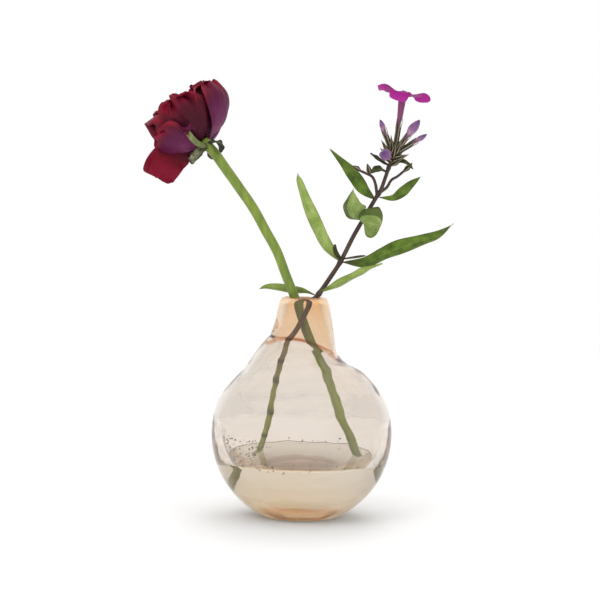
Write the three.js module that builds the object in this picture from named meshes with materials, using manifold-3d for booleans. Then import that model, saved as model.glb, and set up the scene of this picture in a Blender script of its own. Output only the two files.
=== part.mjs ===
// A blown-glass bud vase that stands on its foot, with its water and two cut flowers:
// a ranunculus leaning left and a phlox leaning right. Millimetres, +Z up, front is -Y.
// The origin is the middle of the foot, on the surface that the vase stands on.
import * as THREE from "three";
import { ParametricGeometry } from "three/addons/geometries/ParametricGeometry.js";
import { mergeVertices } from "three/addons/utils/BufferGeometryUtils.js";
import Module from "manifold-3d";

const wasm = await Module();
wasm.setup();

// ---------------------------------------------------------------- driving dimensions

const GAP = 0.35; // left between pieces that touch on the real object
const VASE_SEGMENTS = 40;

const BULB_RADIUS = 45;
const BULB_CENTRE_Z = 41;
const FOOT_RADIUS = 18.5;
const FOOT_ROUNDING = 1.2;
const SHOULDER_ANGLE = 0.31; // radians above the equator, where the ball runs into the shoulder
const NECK_BASE = { radius: 16.1, z: 87.5 };
const NECK_TOP = { radius: 12.8, z: 104 };
const LIP = { radius: 10.4, z: 109 };
const MOUTH = { radius: 8.2, z: 106.5 };
const BORE_FOOT = { radius: 15.3, z: 84.5 };
const INNER_EQUATOR = { radius: 41.2, z: 45 };
const BASE_THICKNESS = 8.5;
const LEAN = { slope: 0.235, z: 85, reach: 14 }; // the neck was set on slightly askew

const WATER_LEVEL = 28;

const RANUNCULUS_RISE = new THREE.Vector3(-0.41, -0.0186, 1).normalize();
const PHLOX_RISE = new THREE.Vector3(0.31, -0.15, 1).normalize();

// ---------------------------------------------------------------- colours

const material = (color, roughness = 0.5, extra = {}) =>
  new THREE.MeshStandardMaterial({ color, roughness, metalness: 0, ...extra });

const GLASS = material("#ecd9bd", 0.03, { transparent: true, opacity: 0.4 });
const WATER = material("#e8ecea", 0.02, { transparent: true, opacity: 0.4 });
const GREEN_STEM = material("#82a446", 0.45);
const DARK_STEM = material("#4a3a30", 0.5);
const LEAF_TOP = material("#4f7a32", 0.5);
const LEAF_BACK = material("#93b068", 0.6);
const BRACT = material("#5b6040", 0.6);
const CALYX = material("#4b3f28", 0.6);
const BUD = material("#8f629c", 0.5);
const MAGENTA = material("#b01c8c", 0.5);
const TUBE = material("#94406c", 0.5);
const PURPLE_PETAL = material("#76305a", 0.45);
const CRIMSON_PETAL = material("#6a0f2c", 0.5);
const SEPAL = material("#5c6150", 0.7);

// ---------------------------------------------------------------- helpers

const v3 = (x, y, z) => new THREE.Vector3(x, y, z);
const smooth = (points) => new THREE.CatmullRomCurve3(points.map((p) => v3(...p)));

// Joins the shared vertices, drops collapsed triangles and turns the faces outwards.
function closed(geometry) {
  const bare = new THREE.BufferGeometry();
  bare.setAttribute("position", geometry.getAttribute("position"));
  if (geometry.index) bare.setIndex(geometry.index);
  const merged = mergeVertices(bare, 1e-3);
  const place = merged.attributes.position;
  const corners = merged.index.array;
  const kept = [];
  const [a, b, c] = [v3(0, 0, 0), v3(0, 0, 0), v3(0, 0, 0)];
  let volume = 0;
  for (let i = 0; i < corners.length; i += 3) {
    const [p, q, r] = corners.slice(i, i + 3);
    if (p === q || q === r || r === p) continue;
    kept.push(p, q, r);
    a.fromBufferAttribute(place, p);
    b.fromBufferAttribute(place, q);
    c.fromBufferAttribute(place, r);
    volume += a.dot(b.cross(c));
  }
  if (volume < 0) kept.reverse();
  merged.setIndex(kept);
  return merged;
}

function piece(name, geometry, finish) {
  const mesh = new THREE.Mesh(geometry, finish);
  mesh.name = name;
  return mesh;
}

// A closed solid turned around +Z from an outline of [radius, height] points.
function turned(outline, segments) {
  const points = outline.map(([radius, height]) => new THREE.Vector2(radius, height));
  return closed(new THREE.LatheGeometry(points, segments).rotateX(Math.PI / 2));
}

// Stands a piece that was made along +Z at a point, pointing the way given.
function pointed(mesh, base, direction) {
  mesh.position.copy(base);
  mesh.quaternion.setFromUnitVectors(v3(0, 0, 1), direction.clone().normalize());
  return mesh;
}

// A round stalk along a curve, tapering evenly from the radius at its start to that at its end.
function stalk(curve, startRadius, endRadius, steps, sides = 8) {
  const section = new THREE.Shape();
  section.absarc(0, 0, 1, 0, 2 * Math.PI);
  const outline = new THREE.Shape(section.getSpacedPoints(sides).slice(0, sides));
  const settings = { steps, extrudePath: curve, bevelEnabled: false };
  const geometry = closed(new THREE.ExtrudeGeometry(outline, settings));
  const middles = curve.getSpacedPoints(steps);
  const place = geometry.attributes.position;
  const point = v3(0, 0, 0);
  for (let i = 0; i < place.count; i++) {
    point.fromBufferAttribute(place, i);
    const distances = middles.map((middle) => middle.distanceTo(point));
    const step = distances.indexOf(Math.min(...distances));
    const radius = startRadius + ((endRadius - startRadius) * step) / steps;
    point.sub(middles[step]).multiplyScalar(radius).add(middles[step]);
    place.setXYZ(i, point.x, point.y, point.z);
  }
  return closed(geometry);
}

// How wide a leaf or petal is at v along its length: 1 at its widest, 0 at both ends.
function spread(v, widest, fullness) {
  const rise = widest / fullness;
  const fall = (1 - widest) / fullness;
  return (v ** rise * (1 - v) ** fall) / (widest ** rise * (1 - widest) ** fall);
}

// A leaf: a thin lens-shaped section carried along a spine. face is the way its upper side looks,
// and cup lifts both edges towards that side.
function leaf({ spine, face, halfWidth, widest = 0.45, fullness = 1, cup = 0.2, thickness = 0.6 }) {
  const curve = smooth(spine);
  const upper = v3(...face).normalize();
  const slices = 8;
  const stacks = 7;
  const build = (u, v, target) => {
    const angle = 2 * Math.PI * u;
    const along = curve.getTangent(v);
    const across = v3(0, 0, 0).crossVectors(along, upper).normalize();
    const outward = v3(0, 0, 0).crossVectors(across, along);
    const half = halfWidth * spread(v, widest, fullness);
    const body = Math.sqrt(Math.max(0, 1 - (2 * v - 1) ** 6));
    const lift = cup * half * Math.cos(angle) ** 2 + 0.5 * thickness * body * Math.sin(angle);
    target.copy(curve.getPoint(v));
    target.addScaledVector(across, half * Math.cos(angle));
    target.addScaledVector(outward, lift);
  };
  return closed(new ParametricGeometry(build, slices, stacks));
}

// A petal of a cup-shaped flower: a thin stretch of a turned wall around the flower's own axis.
// One side edge runs inside its neighbour and the other outside it, as overlapping tiles do.
function cupPetal({ wall, middleAngle, halfAngle, tuck, widest = 0.6, thickness = 0.55 }) {
  const curve = new THREE.SplineCurve(wall.map(([r, h]) => new THREE.Vector2(r, h)));
  const fullness = 2.2;
  const slices = 12;
  const stacks = 8;
  const build = (u, v, target) => {
    const angle = 2 * Math.PI * u;
    const at = curve.getPoint(v);
    const along = curve.getTangent(v);
    const body = Math.sqrt(Math.max(0, 1 - (2 * v - 1) ** 6));
    const side = Math.cos(angle) * spread(v, widest, fullness);
    const offset = 0.5 * thickness * body * Math.sin(angle);
    const radius = at.x + along.y * offset + tuck * side * Math.min(1, at.x / 12);
    const turn = middleAngle + halfAngle * side;
    target.set(radius * Math.cos(turn), radius * Math.sin(turn), at.y - along.x * offset);
  };
  return closed(new ParametricGeometry(build, slices, stacks));
}

// ---------------------------------------------------------------- the vase and its water

const stepped = (curve, steps) => curve.getPoints(steps).slice(1).map((p) => [p.x, p.y]);
const cubic = (...points) =>
  new THREE.CubicBezierCurve(...points.map(([r, z]) => new THREE.Vector2(r, z)));
const quadratic = (...points) =>
  new THREE.QuadraticBezierCurve(...points.map(([r, z]) => new THREE.Vector2(r, z)));

// The ball, shoulder, neck and lip as seen from outside, from the foot's middle up to the mouth.
function outerOutline() {
  const footAngle = -Math.asin(BULB_CENTRE_Z / BULB_RADIUS) + FOOT_ROUNDING / BULB_RADIUS;
  const ball = new THREE.EllipseCurve(
    0, BULB_CENTRE_Z, BULB_RADIUS, BULB_RADIUS, footAngle, SHOULDER_ANGLE);
  const ballStart = ball.getPoint(0);
  const ballEnd = ball.getPoint(1);
  const edge = quadratic([FOOT_RADIUS - FOOT_ROUNDING, 0], [FOOT_RADIUS, 0], ballStart.toArray());
  const shoulder = cubic(ballEnd.toArray(), [39.1, 66.3], [22.2, 78.4], [17, 85.5]);
  const kink = quadratic([17, 85.5], [16.3, 86.4], [NECK_BASE.radius, NECK_BASE.z]);
  const lip = quadratic([NECK_TOP.radius, NECK_TOP.z], [12.1, LIP.z - 0.8], [LIP.radius, LIP.z]);
  const mouth = quadratic([LIP.radius, LIP.z], [8.6, LIP.z], [MOUTH.radius, MOUTH.z]);
  return [
    [0, 0],
    [FOOT_RADIUS - FOOT_ROUNDING, 0],
    ...stepped(edge, 2),
    ...stepped(ball, 15),
    ...stepped(shoulder, 8),
    ...stepped(kink, 2),
    [NECK_TOP.radius, NECK_TOP.z],
    ...stepped(lip, 3),
    ...stepped(mouth, 3),
  ];
}

// The bore of the neck, then the hollow ball, from just inside the mouth down to the thick floor.
function innerOutline() {
  const bore = cubic([MOUTH.radius, MOUTH.z], [8.4, 101], [13.4, 93], [BORE_FOOT.radius, BORE_FOOT.z]);
  const equator = [INNER_EQUATOR.radius, INNER_EQUATOR.z];
  const dome = cubic([BORE_FOOT.radius, BORE_FOOT.z], [21, 77], [INNER_EQUATOR.radius, 61], equator);
  const bowl = cubic(equator, [INNER_EQUATOR.radius, 24], [26, BASE_THICKNESS], [0, BASE_THICKNESS]);
  return [...stepped(bore, 4), ...stepped(dome, 7), ...stepped(bowl, 9)];
}

// Tips the base of the neck, a little higher on the left than on the right.
function lean(geometry) {
  const place = geometry.attributes.position;
  for (let i = 0; i < place.count; i++) {
    const away = (place.getZ(i) - LEAN.z) / LEAN.reach;
    if (Math.abs(away) >= 1) continue;
    const share = Math.cos((Math.PI / 2) * away) ** 2;
    place.setZ(i, place.getZ(i) - LEAN.slope * place.getX(i) * share);
  }
  return geometry;
}

function vaseGlass() {
  const geometry = turned([...outerOutline(), ...innerOutline()], VASE_SEGMENTS);
  return piece("vase_glass", lean(geometry), GLASS);
}

function solid(geometry) {
  const vertProperties = geometry.attributes.position.array;
  const triVerts = new Uint32Array(geometry.index.array);
  return new wasm.Manifold(new wasm.Mesh({ numProp: 3, vertProperties, triVerts }));
}

function geometryOf(manifold) {
  const mesh = manifold.getMesh();
  const geometry = new THREE.BufferGeometry();
  geometry.setAttribute("position", new THREE.BufferAttribute(mesh.vertProperties, 3));
  geometry.setIndex(new THREE.BufferAttribute(mesh.triVerts, 1));
  return geometry;
}

// The water fills the bowl up to its level, with a clear channel around each stem.
function water(stems) {
  const inset = innerOutline().filter(([, z]) => z < WATER_LEVEL).reverse();
  const shape = inset.map(([radius, z]) => [Math.max(0, radius - GAP), z + GAP]);
  const [outerRadius, outerZ] = shape[shape.length - 1];
  const brim = outerRadius + (WATER_LEVEL - outerZ) * 0.55;
  let body = solid(turned([...shape, [brim, WATER_LEVEL], [0, WATER_LEVEL]], VASE_SEGMENTS));
  for (const { foot, rise, radius } of stems) {
    const start = foot.clone().addScaledVector(rise, -GAP);
    const end = foot.clone().addScaledVector(rise, 40);
    const line = new THREE.LineCurve3(start, end);
    body = body.subtract(solid(stalk(line, radius + GAP, radius + GAP, 1)));
  }
  return piece("water", geometryOf(body), WATER);
}

// ---------------------------------------------------------------- the stems

// Each stem is straight inside the vase, along the way it slides in and out, and bends above it.
const RANUNCULUS = {
  rise: RANUNCULUS_RISE,
  neck: v3(-5.4, 2.6, 110.4),
  insideLength: 95.1,
  radius: 2.2,
  topRadius: 2.6,
  bends: [[-9.8, 2.6, 121], [-14, 2.5, 131.5], [-20, 2.3, 142], [-26, 2, 152.5], [-33.5, 2, 163],
    [-40.5, 2, 172.5], [-45.5, 2, 179.3], [-48, 2, 182]],
};
RANUNCULUS.foot = RANUNCULUS.neck.clone().addScaledVector(RANUNCULUS_RISE, -RANUNCULUS.insideLength);

const PHLOX = {
  rise: PHLOX_RISE,
  foot: v3(-24.8, 10.4, 17.7),
  straightLength: 20,
  radius: 1.6,
  topRadius: 0.85,
  bends: [[-16.5, 5.3, 49.5], [-14.6, 3.4, 59], [-12, 0.6, 73], [-9.5, -1, 81], [-7.8, -1.5, 87],
    [-3.9, -2, 93], [0, -2.4, 100], [3.8, -2.2, 107], [7, -2, 110.5], [13, -1.5, 119.5],
    [17.9, -1, 127.5], [24, 0, 140], [30.2, 0, 151.2], [35, 0, 159.6], [37, 0, 163],
    [38.9, 0, 168.5], [40.8, 0, 174.5], [43.2, 0, 181.5]],
};

function ranunculusStem() {
  const straight = [0, 0.25, 0.5, 0.75, 1].map((share) =>
    RANUNCULUS.foot.clone().lerp(RANUNCULUS.neck, share).toArray());
  const curve = smooth([...straight, ...RANUNCULUS.bends]);
  const geometry = stalk(curve, RANUNCULUS.radius, RANUNCULUS.topRadius, 22);
  return piece("ranunculus_stem", geometry, GREEN_STEM);
}

function phloxStem() {
  const top = PHLOX.foot.clone().addScaledVector(PHLOX.rise, PHLOX.straightLength);
  const middle = PHLOX.foot.clone().lerp(top, 0.5);
  const curve = smooth([PHLOX.foot.toArray(), middle.toArray(), top.toArray(), ...PHLOX.bends]);
  return piece("phlox_stem", stalk(curve, PHLOX.radius, PHLOX.topRadius, 34), DARK_STEM);
}

// ---------------------------------------------------------------- the ranunculus head

const HEAD_BASE = v3(-49.6, 2, 183.6);
const HEAD_AXIS = v3(-0.61, 0.22, 0.76).normalize();
const HEAD_RIGHT = v3(0.79, 0, 0.63);

const degrees = THREE.MathUtils.degToRad;

// Walls of [distance from the axis, height above the receptacle], from the petal's foot to its tip.
const DROOPING_WALL = [[3.4, 1.6], [9.8, 3.2], [18.4, 9.8], [21.6, 16], [18.8, 24.4]];
const LOW_WALL = [[3.4, 1.6], [9.8, 3], [17.6, 8], [20.8, 12], [21, 15.6]];
const REFLEXED_WALL = [[3.4, 1.6], [12.2, 3.6], [18.6, 8.4], [21.6, 12], [23.2, 16.4], [22.4, 22.6]];
const OUTER_PETALS = [
  { angle: 218, half: 39, wall: LOW_WALL },
  { angle: 337, half: 30, wall: REFLEXED_WALL },
  { angle: 46, half: 38, wall: DROOPING_WALL },
  { angle: 116, half: 36, wall: DROOPING_WALL },
];
const MIDDLE_WALL = [[3.2, 4], [9, 6], [15.4, 11.6], [17.8, 17], [16.4, 25.6]];
const MIDDLE_PETALS = 5;
const INNER_CUPS = [
  { name: "ranunculus_inner_cup_1", scale: 0.76, lift: 5.6 },
  { name: "ranunculus_inner_cup_2", scale: 0.52, lift: 9.6 },
];

// One closed cup of the tightly packed inner petals, open at its ruffled rim.
function innerCup({ name, scale, lift }) {
  const wall = 0.7;
  const outer = MIDDLE_WALL.map(([r, h]) => [r * scale, lift + (h - 4) * 0.86]);
  const inner = outer.map(([r, h]) => [r - wall, h + 0.35 * wall]).reverse();
  const floor = [0, outer[0][1] - 0.5];
  const ceiling = [0, outer[0][1] + wall];
  const geometry = turned([floor, ...outer, ...inner, ceiling], 20);
  return piece(name, geometry, CRIMSON_PETAL);
}

function ranunculusHead() {
  const head = new THREE.Group();
  head.position.copy(HEAD_BASE);
  const across = HEAD_RIGHT.clone().addScaledVector(HEAD_AXIS, -HEAD_RIGHT.dot(HEAD_AXIS)).normalize();
  const back = v3(0, 0, 0).crossVectors(HEAD_AXIS, across);
  head.quaternion.setFromRotationMatrix(new THREE.Matrix4().makeBasis(across, back, HEAD_AXIS));
  const knob = turned([[0, 0], [2.4, 0], [2.9, 1.4], [2.4, 3], [0, 3.4]], 12);
  head.add(piece("ranunculus_receptacle", knob, GREEN_STEM));
  OUTER_PETALS.forEach(({ angle, half, wall }, i) => {
    const shape = { wall, middleAngle: degrees(angle), halfAngle: degrees(half), tuck: 0.8 };
    head.add(piece(`ranunculus_outer_petal_${i + 1}`, cupPetal(shape), PURPLE_PETAL));
  });
  for (let i = 0; i < MIDDLE_PETALS; i++) {
    const angle = degrees(268 + (i * 360) / MIDDLE_PETALS);
    const shape = { wall: MIDDLE_WALL, middleAngle: angle, halfAngle: degrees(40), tuck: 0.7 };
    head.add(piece(`ranunculus_middle_petal_${i + 1}`, cupPetal(shape), CRIMSON_PETAL));
  }
  INNER_CUPS.forEach((cup) => head.add(innerCup(cup)));
  const heart = turned([[0, 13.8], [3, 14], [5.6, 17], [6.6, 21], [5.2, 25], [2.6, 26.6], [0, 27]], 14);
  head.add(piece("ranunculus_heart", heart, CRIMSON_PETAL));
  return head;
}

const HANGING_PETAL = {
  spine: [[-54.4, 7.6, 177.8], [-60, 7.4, 174.4], [-67, 4.8, 170.2], [-74, 2.2, 165.8]],
  face: [0.35, -0.9, 0.25],
  halfWidth: 8.4,
  widest: 0.72,
  fullness: 2.4,
  cup: 0.12,
  thickness: 0.7,
};
const SEPALS = [
  { spine: [[-46, -1.4, 184.4], [-43.4, -2.2, 183.6], [-42.4, -2.2, 180]], face: [0.6, 0, 0.7] },
  { spine: [[-51.6, 0.6, 181], [-54.4, -1, 178], [-57.6, -1.6, 175.6]], face: [-0.6, 0.3, 0.6] },
  { spine: [[-48.6, 5, 182], [-47.4, 8.4, 180.4], [-48, 11.6, 177]], face: [0, 0.4, 0.9] },
];
const SIDE_SHOOT = [[-50.8, -2.4, 181.6], [-54.6, -9.2, 184.2], [-58.8, -14.8, 189]];

function ranunculusTrim() {
  const sepal = { halfWidth: 2.4, cup: 0.35, fullness: 1.6, thickness: 0.6 };
  return [
    piece("ranunculus_hanging_petal", leaf(HANGING_PETAL), CRIMSON_PETAL),
    ...SEPALS.map((place, i) => piece(`ranunculus_sepal_${i + 1}`, leaf({ ...sepal, ...place }), SEPAL)),
    piece("ranunculus_side_shoot", stalk(smooth(SIDE_SHOOT), 1.3, 1.6, 6), GREEN_STEM),
  ];
}

// ---------------------------------------------------------------- the phlox leaves

const LEAVES = {
  phlox_leaf_low_left: {
    spine: [[4.4, 0.9, 111.2], [0, 6.8, 111.4], [-6, 10.4, 111.6], [-13, 11.5, 112.7], [-19, 11, 113.2],
      [-22.8, 10.4, 112.4]],
    face: [0, 0.75, 0.66], halfWidth: 2.6, back: true,
  },
  phlox_leaf_low_right: {
    spine: [[8.6, -3.2, 111.4], [14.5, -6, 114.4], [24, -8, 119.6], [31, -9, 123.6], [38.2, -9, 126.8]],
    face: [-0.3, 0.6, 0.74], halfWidth: 3, back: true,
  },
  phlox_leaf_long_left: {
    spine: [[15.4, -1, 128.2], [10.4, -1.4, 135], [5.4, -2.4, 144], [0.3, -3.2, 155.5], [-3.5, -4, 166],
      [-4.4, -4, 170.4]],
    face: [0.35, 0.9, 0.2], halfWidth: 3.3, widest: 0.35, back: true,
  },
  phlox_leaf_long_right: {
    spine: [[20.6, -1.2, 125.4], [29.7, -2.6, 126.6], [39, -4, 131], [47, -4, 134.4], [57.3, -4, 138],
      [65.2, -3, 141], [73.2, -2, 147]],
    face: [-0.2, -0.75, 0.62], halfWidth: 4.3,
  },
  phlox_leaf_folded_left: {
    spine: [[27.4, -2.6, 151.6], [24.6, -4.8, 151.6], [22.6, -6.6, 154.4], [22.4, -7.2, 158.6],
      [23.2, -7.4, 163.4]],
    face: [0.45, 0.85, 0.1], halfWidth: 6.2, cup: 0.2, fullness: 0.7, widest: 0.4, back: true,
  },
  phlox_leaf_folded_right: {
    spine: [[27.6, -3.2, 146.6], [29.8, -5.4, 146.8], [33, -7.6, 146.4], [37.2, -9, 146]],
    face: [0.3, 0.9, 0.25], halfWidth: 7.6, cup: 0.15, fullness: 0.8, widest: 0.62, back: true,
  },
  phlox_leaf_top_left: {
    spine: [[31.8, -0.6, 159.6], [28.4, -1, 162.9], [24.1, 0, 168.7], [19.3, 1, 174.5], [11.2, 1.5, 183]],
    face: [-0.1, -0.9, 0.4], halfWidth: 3.4,
  },
  phlox_leaf_top_right: {
    spine: [[37.2, -1, 158.4], [42.8, -1.2, 159], [47.4, -1.6, 161.8], [51.2, -2, 165.4],
      [56.6, -2, 170]],
    face: [0.1, -0.9, 0.4], halfWidth: 2.3, widest: 0.6,
  },
  phlox_axil_shoot_left: {
    spine: [[16, -3.2, 129.3], [15.2, -4, 132.4], [14.7, -4.4, 135.8]],
    face: [-0.5, -0.8, 0.1], halfWidth: 1.3, thickness: 0.9,
  },
  phlox_axil_shoot_right: {
    spine: [[19.8, -3.4, 127.9], [25, -6.4, 129.4], [30, -7, 130.4]],
    face: [0, -0.5, 0.86], halfWidth: 0.9, thickness: 0.8,
  },
};
const BRACTS = {
  phlox_bract_inner: {
    spine: [[38.6, -1.6, 172], [35.6, -5, 173], [31.7, -6.8, 171.2]],
    face: [0, -0.7, 0.7], halfWidth: 2.3,
  },
  phlox_bract_left: {
    spine: [[39.6, -0.8, 175.4], [35.8, -2.6, 177.6], [31.3, -3, 181]],
    face: [0.2, -0.6, 0.75], halfWidth: 1.6,
  },
  phlox_bract_right: {
    spine: [[43, -1, 175], [47.8, -2.6, 177], [52.8, -3, 173.4]],
    face: [0, -0.6, 0.8], halfWidth: 1.5,
  },
};

function phloxFoliage() {
  const leaves = Object.entries(LEAVES).map(([name, { back, ...shape }]) =>
    piece(name, leaf(shape), back ? LEAF_BACK : LEAF_TOP));
  const bracts = Object.entries(BRACTS).map(([name, shape]) =>
    piece(name, leaf({ fullness: 1.3, cup: 0.3, ...shape }), BRACT));
  return [...leaves, ...bracts];
}

// ---------------------------------------------------------------- the phlox flower head

const BRANCHLETS = {
  phlox_branchlet_left: [[33.2, -2.3, 161.8], [34.1, -2.6, 166], [32.4, -3.2, 169.4], [28.8, -4, 171.2],
    [26.4, -4.2, 172.2]],
  phlox_branchlet_right: [[37.6, 1.6, 161], [40, 2.2, 164.4], [42.2, 3, 168], [45.3, 3, 170],
    [48.3, 3, 172.6]],
};
const BRANCHLET_BUDS = [
  { base: [25.8, -4.3, 172.7], tip: [22.4, -4.6, 174.6] },
  { base: [31.1, -4, 171.8], tip: [29.8, -4.2, 175.8] },
  { base: [48.8, 3, 173.1], tip: [52.6, 3, 176.8] },
];

// A calyx with a flower bud is open at its mouth, and a closed one comes to a point.
const CALYX_RADIUS = 1.35;
const CALYX_WALL = 0.25;
const CALYCES = [
  { base: [43.8, 0.1, 182.4], mouth: [45.3, 0.1, 196], open: true },
  { base: [45.4, -1.8, 181.9], mouth: [49.2, -3.4, 189.4], open: true, budLength: 11, budRadius: 1.9 },
  { base: [41.2, -1.4, 181], mouth: [38.2, -2.2, 191.4], open: true, budLength: 7, budRadius: 1.3 },
  { base: [45.8, 0.6, 180], mouth: [53, 1.6, 187], open: true, budLength: 8, budRadius: 1.3 },
  { base: [41.2, -2, 177.8], mouth: [39.4, -6.8, 179.4], open: true, budLength: 6, budRadius: 2.2 },
  { base: [40, 1.8, 179.2], mouth: [36.8, 4.2, 188] },
  { base: [43.8, -2.6, 177.4], mouth: [50.2, -4.6, 180.6] },
];

function calyx({ base, mouth, open }, index) {
  const start = v3(...base);
  const reach = v3(...mouth).sub(start);
  const length = reach.length();
  const outer = [[0, 0], [0.6, 0], [CALYX_RADIUS, 0.35 * length]];
  const sleeve = [
    ...outer, [CALYX_RADIUS, length], [CALYX_RADIUS - CALYX_WALL, length],
    [CALYX_RADIUS - CALYX_WALL, 0.5 * length], [0, 0.45 * length],
  ];
  const spindle = [...outer, [0.8, 0.75 * length], [0, length]];
  const geometry = turned(open ? sleeve : spindle, 8);
  return pointed(piece(`phlox_calyx_${index + 1}`, geometry, CALYX), start, reach);
}

// A furled bud: a neck that fits inside its calyx, then a swollen pointed tip.
function bud({ base, mouth, budLength, budRadius }, index) {
  const start = v3(...base);
  const reach = v3(...mouth).sub(start);
  const neck = CALYX_RADIUS - CALYX_WALL - GAP;
  const foot = 0.6 * reach.length();
  const mouthHeight = reach.length();
  const outline = [
    [0, foot], [neck, foot], [neck, mouthHeight + 0.3], [budRadius, mouthHeight + 0.45 * budLength],
    [0.55 * budRadius, mouthHeight + 0.8 * budLength - 0.4], [0, mouthHeight + budLength - 1],
  ];
  return pointed(piece(`phlox_bud_${index}`, turned(outline, 8), BUD), start, reach);
}

const FLOWER = { throat: v3(46.7, 0.1, 209.4), axis: v3(0.22, 0.02, 0.97).normalize() };
const FLOWER_PETALS = [
  { angle: 186, length: 12.4, rise: 2.2, tip: 0.6 },
  { angle: 258, length: 10.5, rise: 1.4, tip: -1.2 },
  { angle: 330, length: 12, rise: 0.6, tip: -2.2 },
  { angle: 42, length: 12.6, rise: 1.8, tip: 0.4 },
  { angle: 114, length: 11, rise: 2.4, tip: 1.8 },
];

function corollaTube() {
  const start = v3(...CALYCES[0].base);
  const rise = v3(...CALYCES[0].mouth).sub(start);
  const foot = start.clone().addScaledVector(rise, 0.6);
  const reach = FLOWER.throat.clone().sub(foot);
  const length = reach.length();
  const neck = CALYX_RADIUS - CALYX_WALL - GAP;
  const outline = [[0, 0], [neck, 0], [neck, 6], [1.3, 8], [1.5, length - 2], [2.1, length], [0, length]];
  return pointed(piece("phlox_corolla_tube", turned(outline, 10), TUBE), foot, reach);
}

// Five flat petals spread from the mouth of the tube, each on its own sector.
function flowerPetals() {
  const flower = new THREE.Group();
  flower.position.copy(FLOWER.throat);
  flower.quaternion.setFromUnitVectors(v3(0, 0, 1), FLOWER.axis);
  FLOWER_PETALS.forEach(({ angle, length, rise, tip }, i) => {
    const start = 1.6;
    const spine = [[start, 0, 0.8], [0.45 * length, 0, rise], [0.8 * length, 0, rise], [length, 0, tip]];
    const shape = {
      spine, face: [0, 0, 1], halfWidth: 3.9, widest: 0.72, fullness: 0.8, cup: 0.1, thickness: 0.5,
    };
    const petal = piece(`phlox_petal_${i + 1}`, leaf(shape), MAGENTA);
    petal.rotation.z = degrees(angle);
    flower.add(petal);
  });
  return flower;
}

function phloxHead() {
  return [
    ...Object.entries(BRANCHLETS).map(([name, points]) =>
      piece(name, stalk(smooth(points), 0.75, 0.6, 8, 6), DARK_STEM)),
    ...BRANCHLET_BUDS.map(({ base, tip }, i) => {
      const reach = v3(...tip).sub(v3(...base));
      const length = reach.length();
      const outline = [[0, 0], [0.6, 0], [1.1, 0.4 * length], [0.6, 0.8 * length], [0, length]];
      const small = piece(`phlox_small_bud_${i + 1}`, turned(outline, 8), CALYX);
      return pointed(small, v3(...base), reach);
    }),
    ...CALYCES.map(calyx),
    ...CALYCES.filter((place) => place.budLength).map((place, i) => bud(place, i + 1)),
    corollaTube(),
    flowerPetals(),
  ];
}

// ---------------------------------------------------------------- the whole arrangement

const arrangement = new THREE.Group();
arrangement.add(vaseGlass(), water([RANUNCULUS, PHLOX]));
arrangement.add(ranunculusStem(), ranunculusHead(), ...ranunculusTrim());
arrangement.add(phloxStem(), ...phloxFoliage(), ...phloxHead());

export default arrangement;
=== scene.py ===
# %% [markdown]
# # A blown-glass bud vase with two cut flowers
# The vase is a thick-walled ball of champagne glass with a short amber neck. It holds a little
# water, a dark ranunculus that leans left and a sprig of phlox that leans right. Each flower can
# be lifted out, so there are three bodies: the vase, the ranunculus and the phlox. This lesson
# builds the camera and studio first, then the glass and water, then each flower from stem to tip.

import math

import bpy
import numpy as np
from mathutils import Matrix, Vector


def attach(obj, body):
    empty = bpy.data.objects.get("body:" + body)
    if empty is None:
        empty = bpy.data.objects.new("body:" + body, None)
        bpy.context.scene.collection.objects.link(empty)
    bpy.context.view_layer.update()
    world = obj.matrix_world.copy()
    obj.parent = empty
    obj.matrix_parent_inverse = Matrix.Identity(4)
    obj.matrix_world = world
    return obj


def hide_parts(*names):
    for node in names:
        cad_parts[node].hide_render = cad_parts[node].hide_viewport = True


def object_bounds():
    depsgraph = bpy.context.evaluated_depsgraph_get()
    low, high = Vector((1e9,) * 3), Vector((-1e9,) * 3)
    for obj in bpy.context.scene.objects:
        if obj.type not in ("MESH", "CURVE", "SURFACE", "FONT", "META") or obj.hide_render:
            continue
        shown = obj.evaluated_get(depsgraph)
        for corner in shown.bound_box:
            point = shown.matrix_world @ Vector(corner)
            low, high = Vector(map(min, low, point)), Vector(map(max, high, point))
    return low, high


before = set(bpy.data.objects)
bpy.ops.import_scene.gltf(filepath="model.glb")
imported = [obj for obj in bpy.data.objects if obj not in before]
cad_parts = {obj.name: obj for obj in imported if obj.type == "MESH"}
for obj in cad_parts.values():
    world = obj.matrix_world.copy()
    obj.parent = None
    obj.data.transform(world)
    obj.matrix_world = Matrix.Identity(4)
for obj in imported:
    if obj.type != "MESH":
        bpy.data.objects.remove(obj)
cad_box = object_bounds()
MM = 0.001
print("CAD box from", tuple(cad_box[0]), "to", tuple(cad_box[1]))

# %% [markdown]
# The camera stands nearly a metre off, a little above the neck, with a long lens, as one would
# take a small still life. It could be aimed with a constraint, but a matrix made from its own
# three directions also takes the slight roll of a hand-held shot.

# %% Camera
CAMERA_PLACE = Vector((0, -0.9, 0.145))
CAMERA_AIM = Vector((-0.00205, 0, 0.1076))
CAMERA_ROLL = math.radians(1.1)
LENS_MM = 108.66


def into_scene(name, data):
    """Makes an object of a mesh, a lamp or a camera and adds it to the scene."""
    made = bpy.data.objects.new(name, data)
    bpy.context.scene.collection.objects.link(made)
    return made


def make_camera():
    data = bpy.data.cameras.new("still_life_camera")
    data.lens = LENS_MM
    data.sensor_width = 36
    data.clip_end = 50
    camera = into_scene("still_life_camera", data)
    ahead = (CAMERA_AIM - CAMERA_PLACE).normalized()
    right = ahead.cross(Vector((0, 0, 1))).normalized()
    up = right.cross(ahead)
    rolled_right = right * math.cos(CAMERA_ROLL) + up * math.sin(CAMERA_ROLL)
    rolled_up = up * math.cos(CAMERA_ROLL) - right * math.sin(CAMERA_ROLL)
    turn = Matrix((rolled_right, rolled_up, -ahead)).transposed()
    camera.matrix_world = Matrix.Translation(CAMERA_PLACE) @ turn.to_4x4()
    bpy.context.scene.camera = camera


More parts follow.
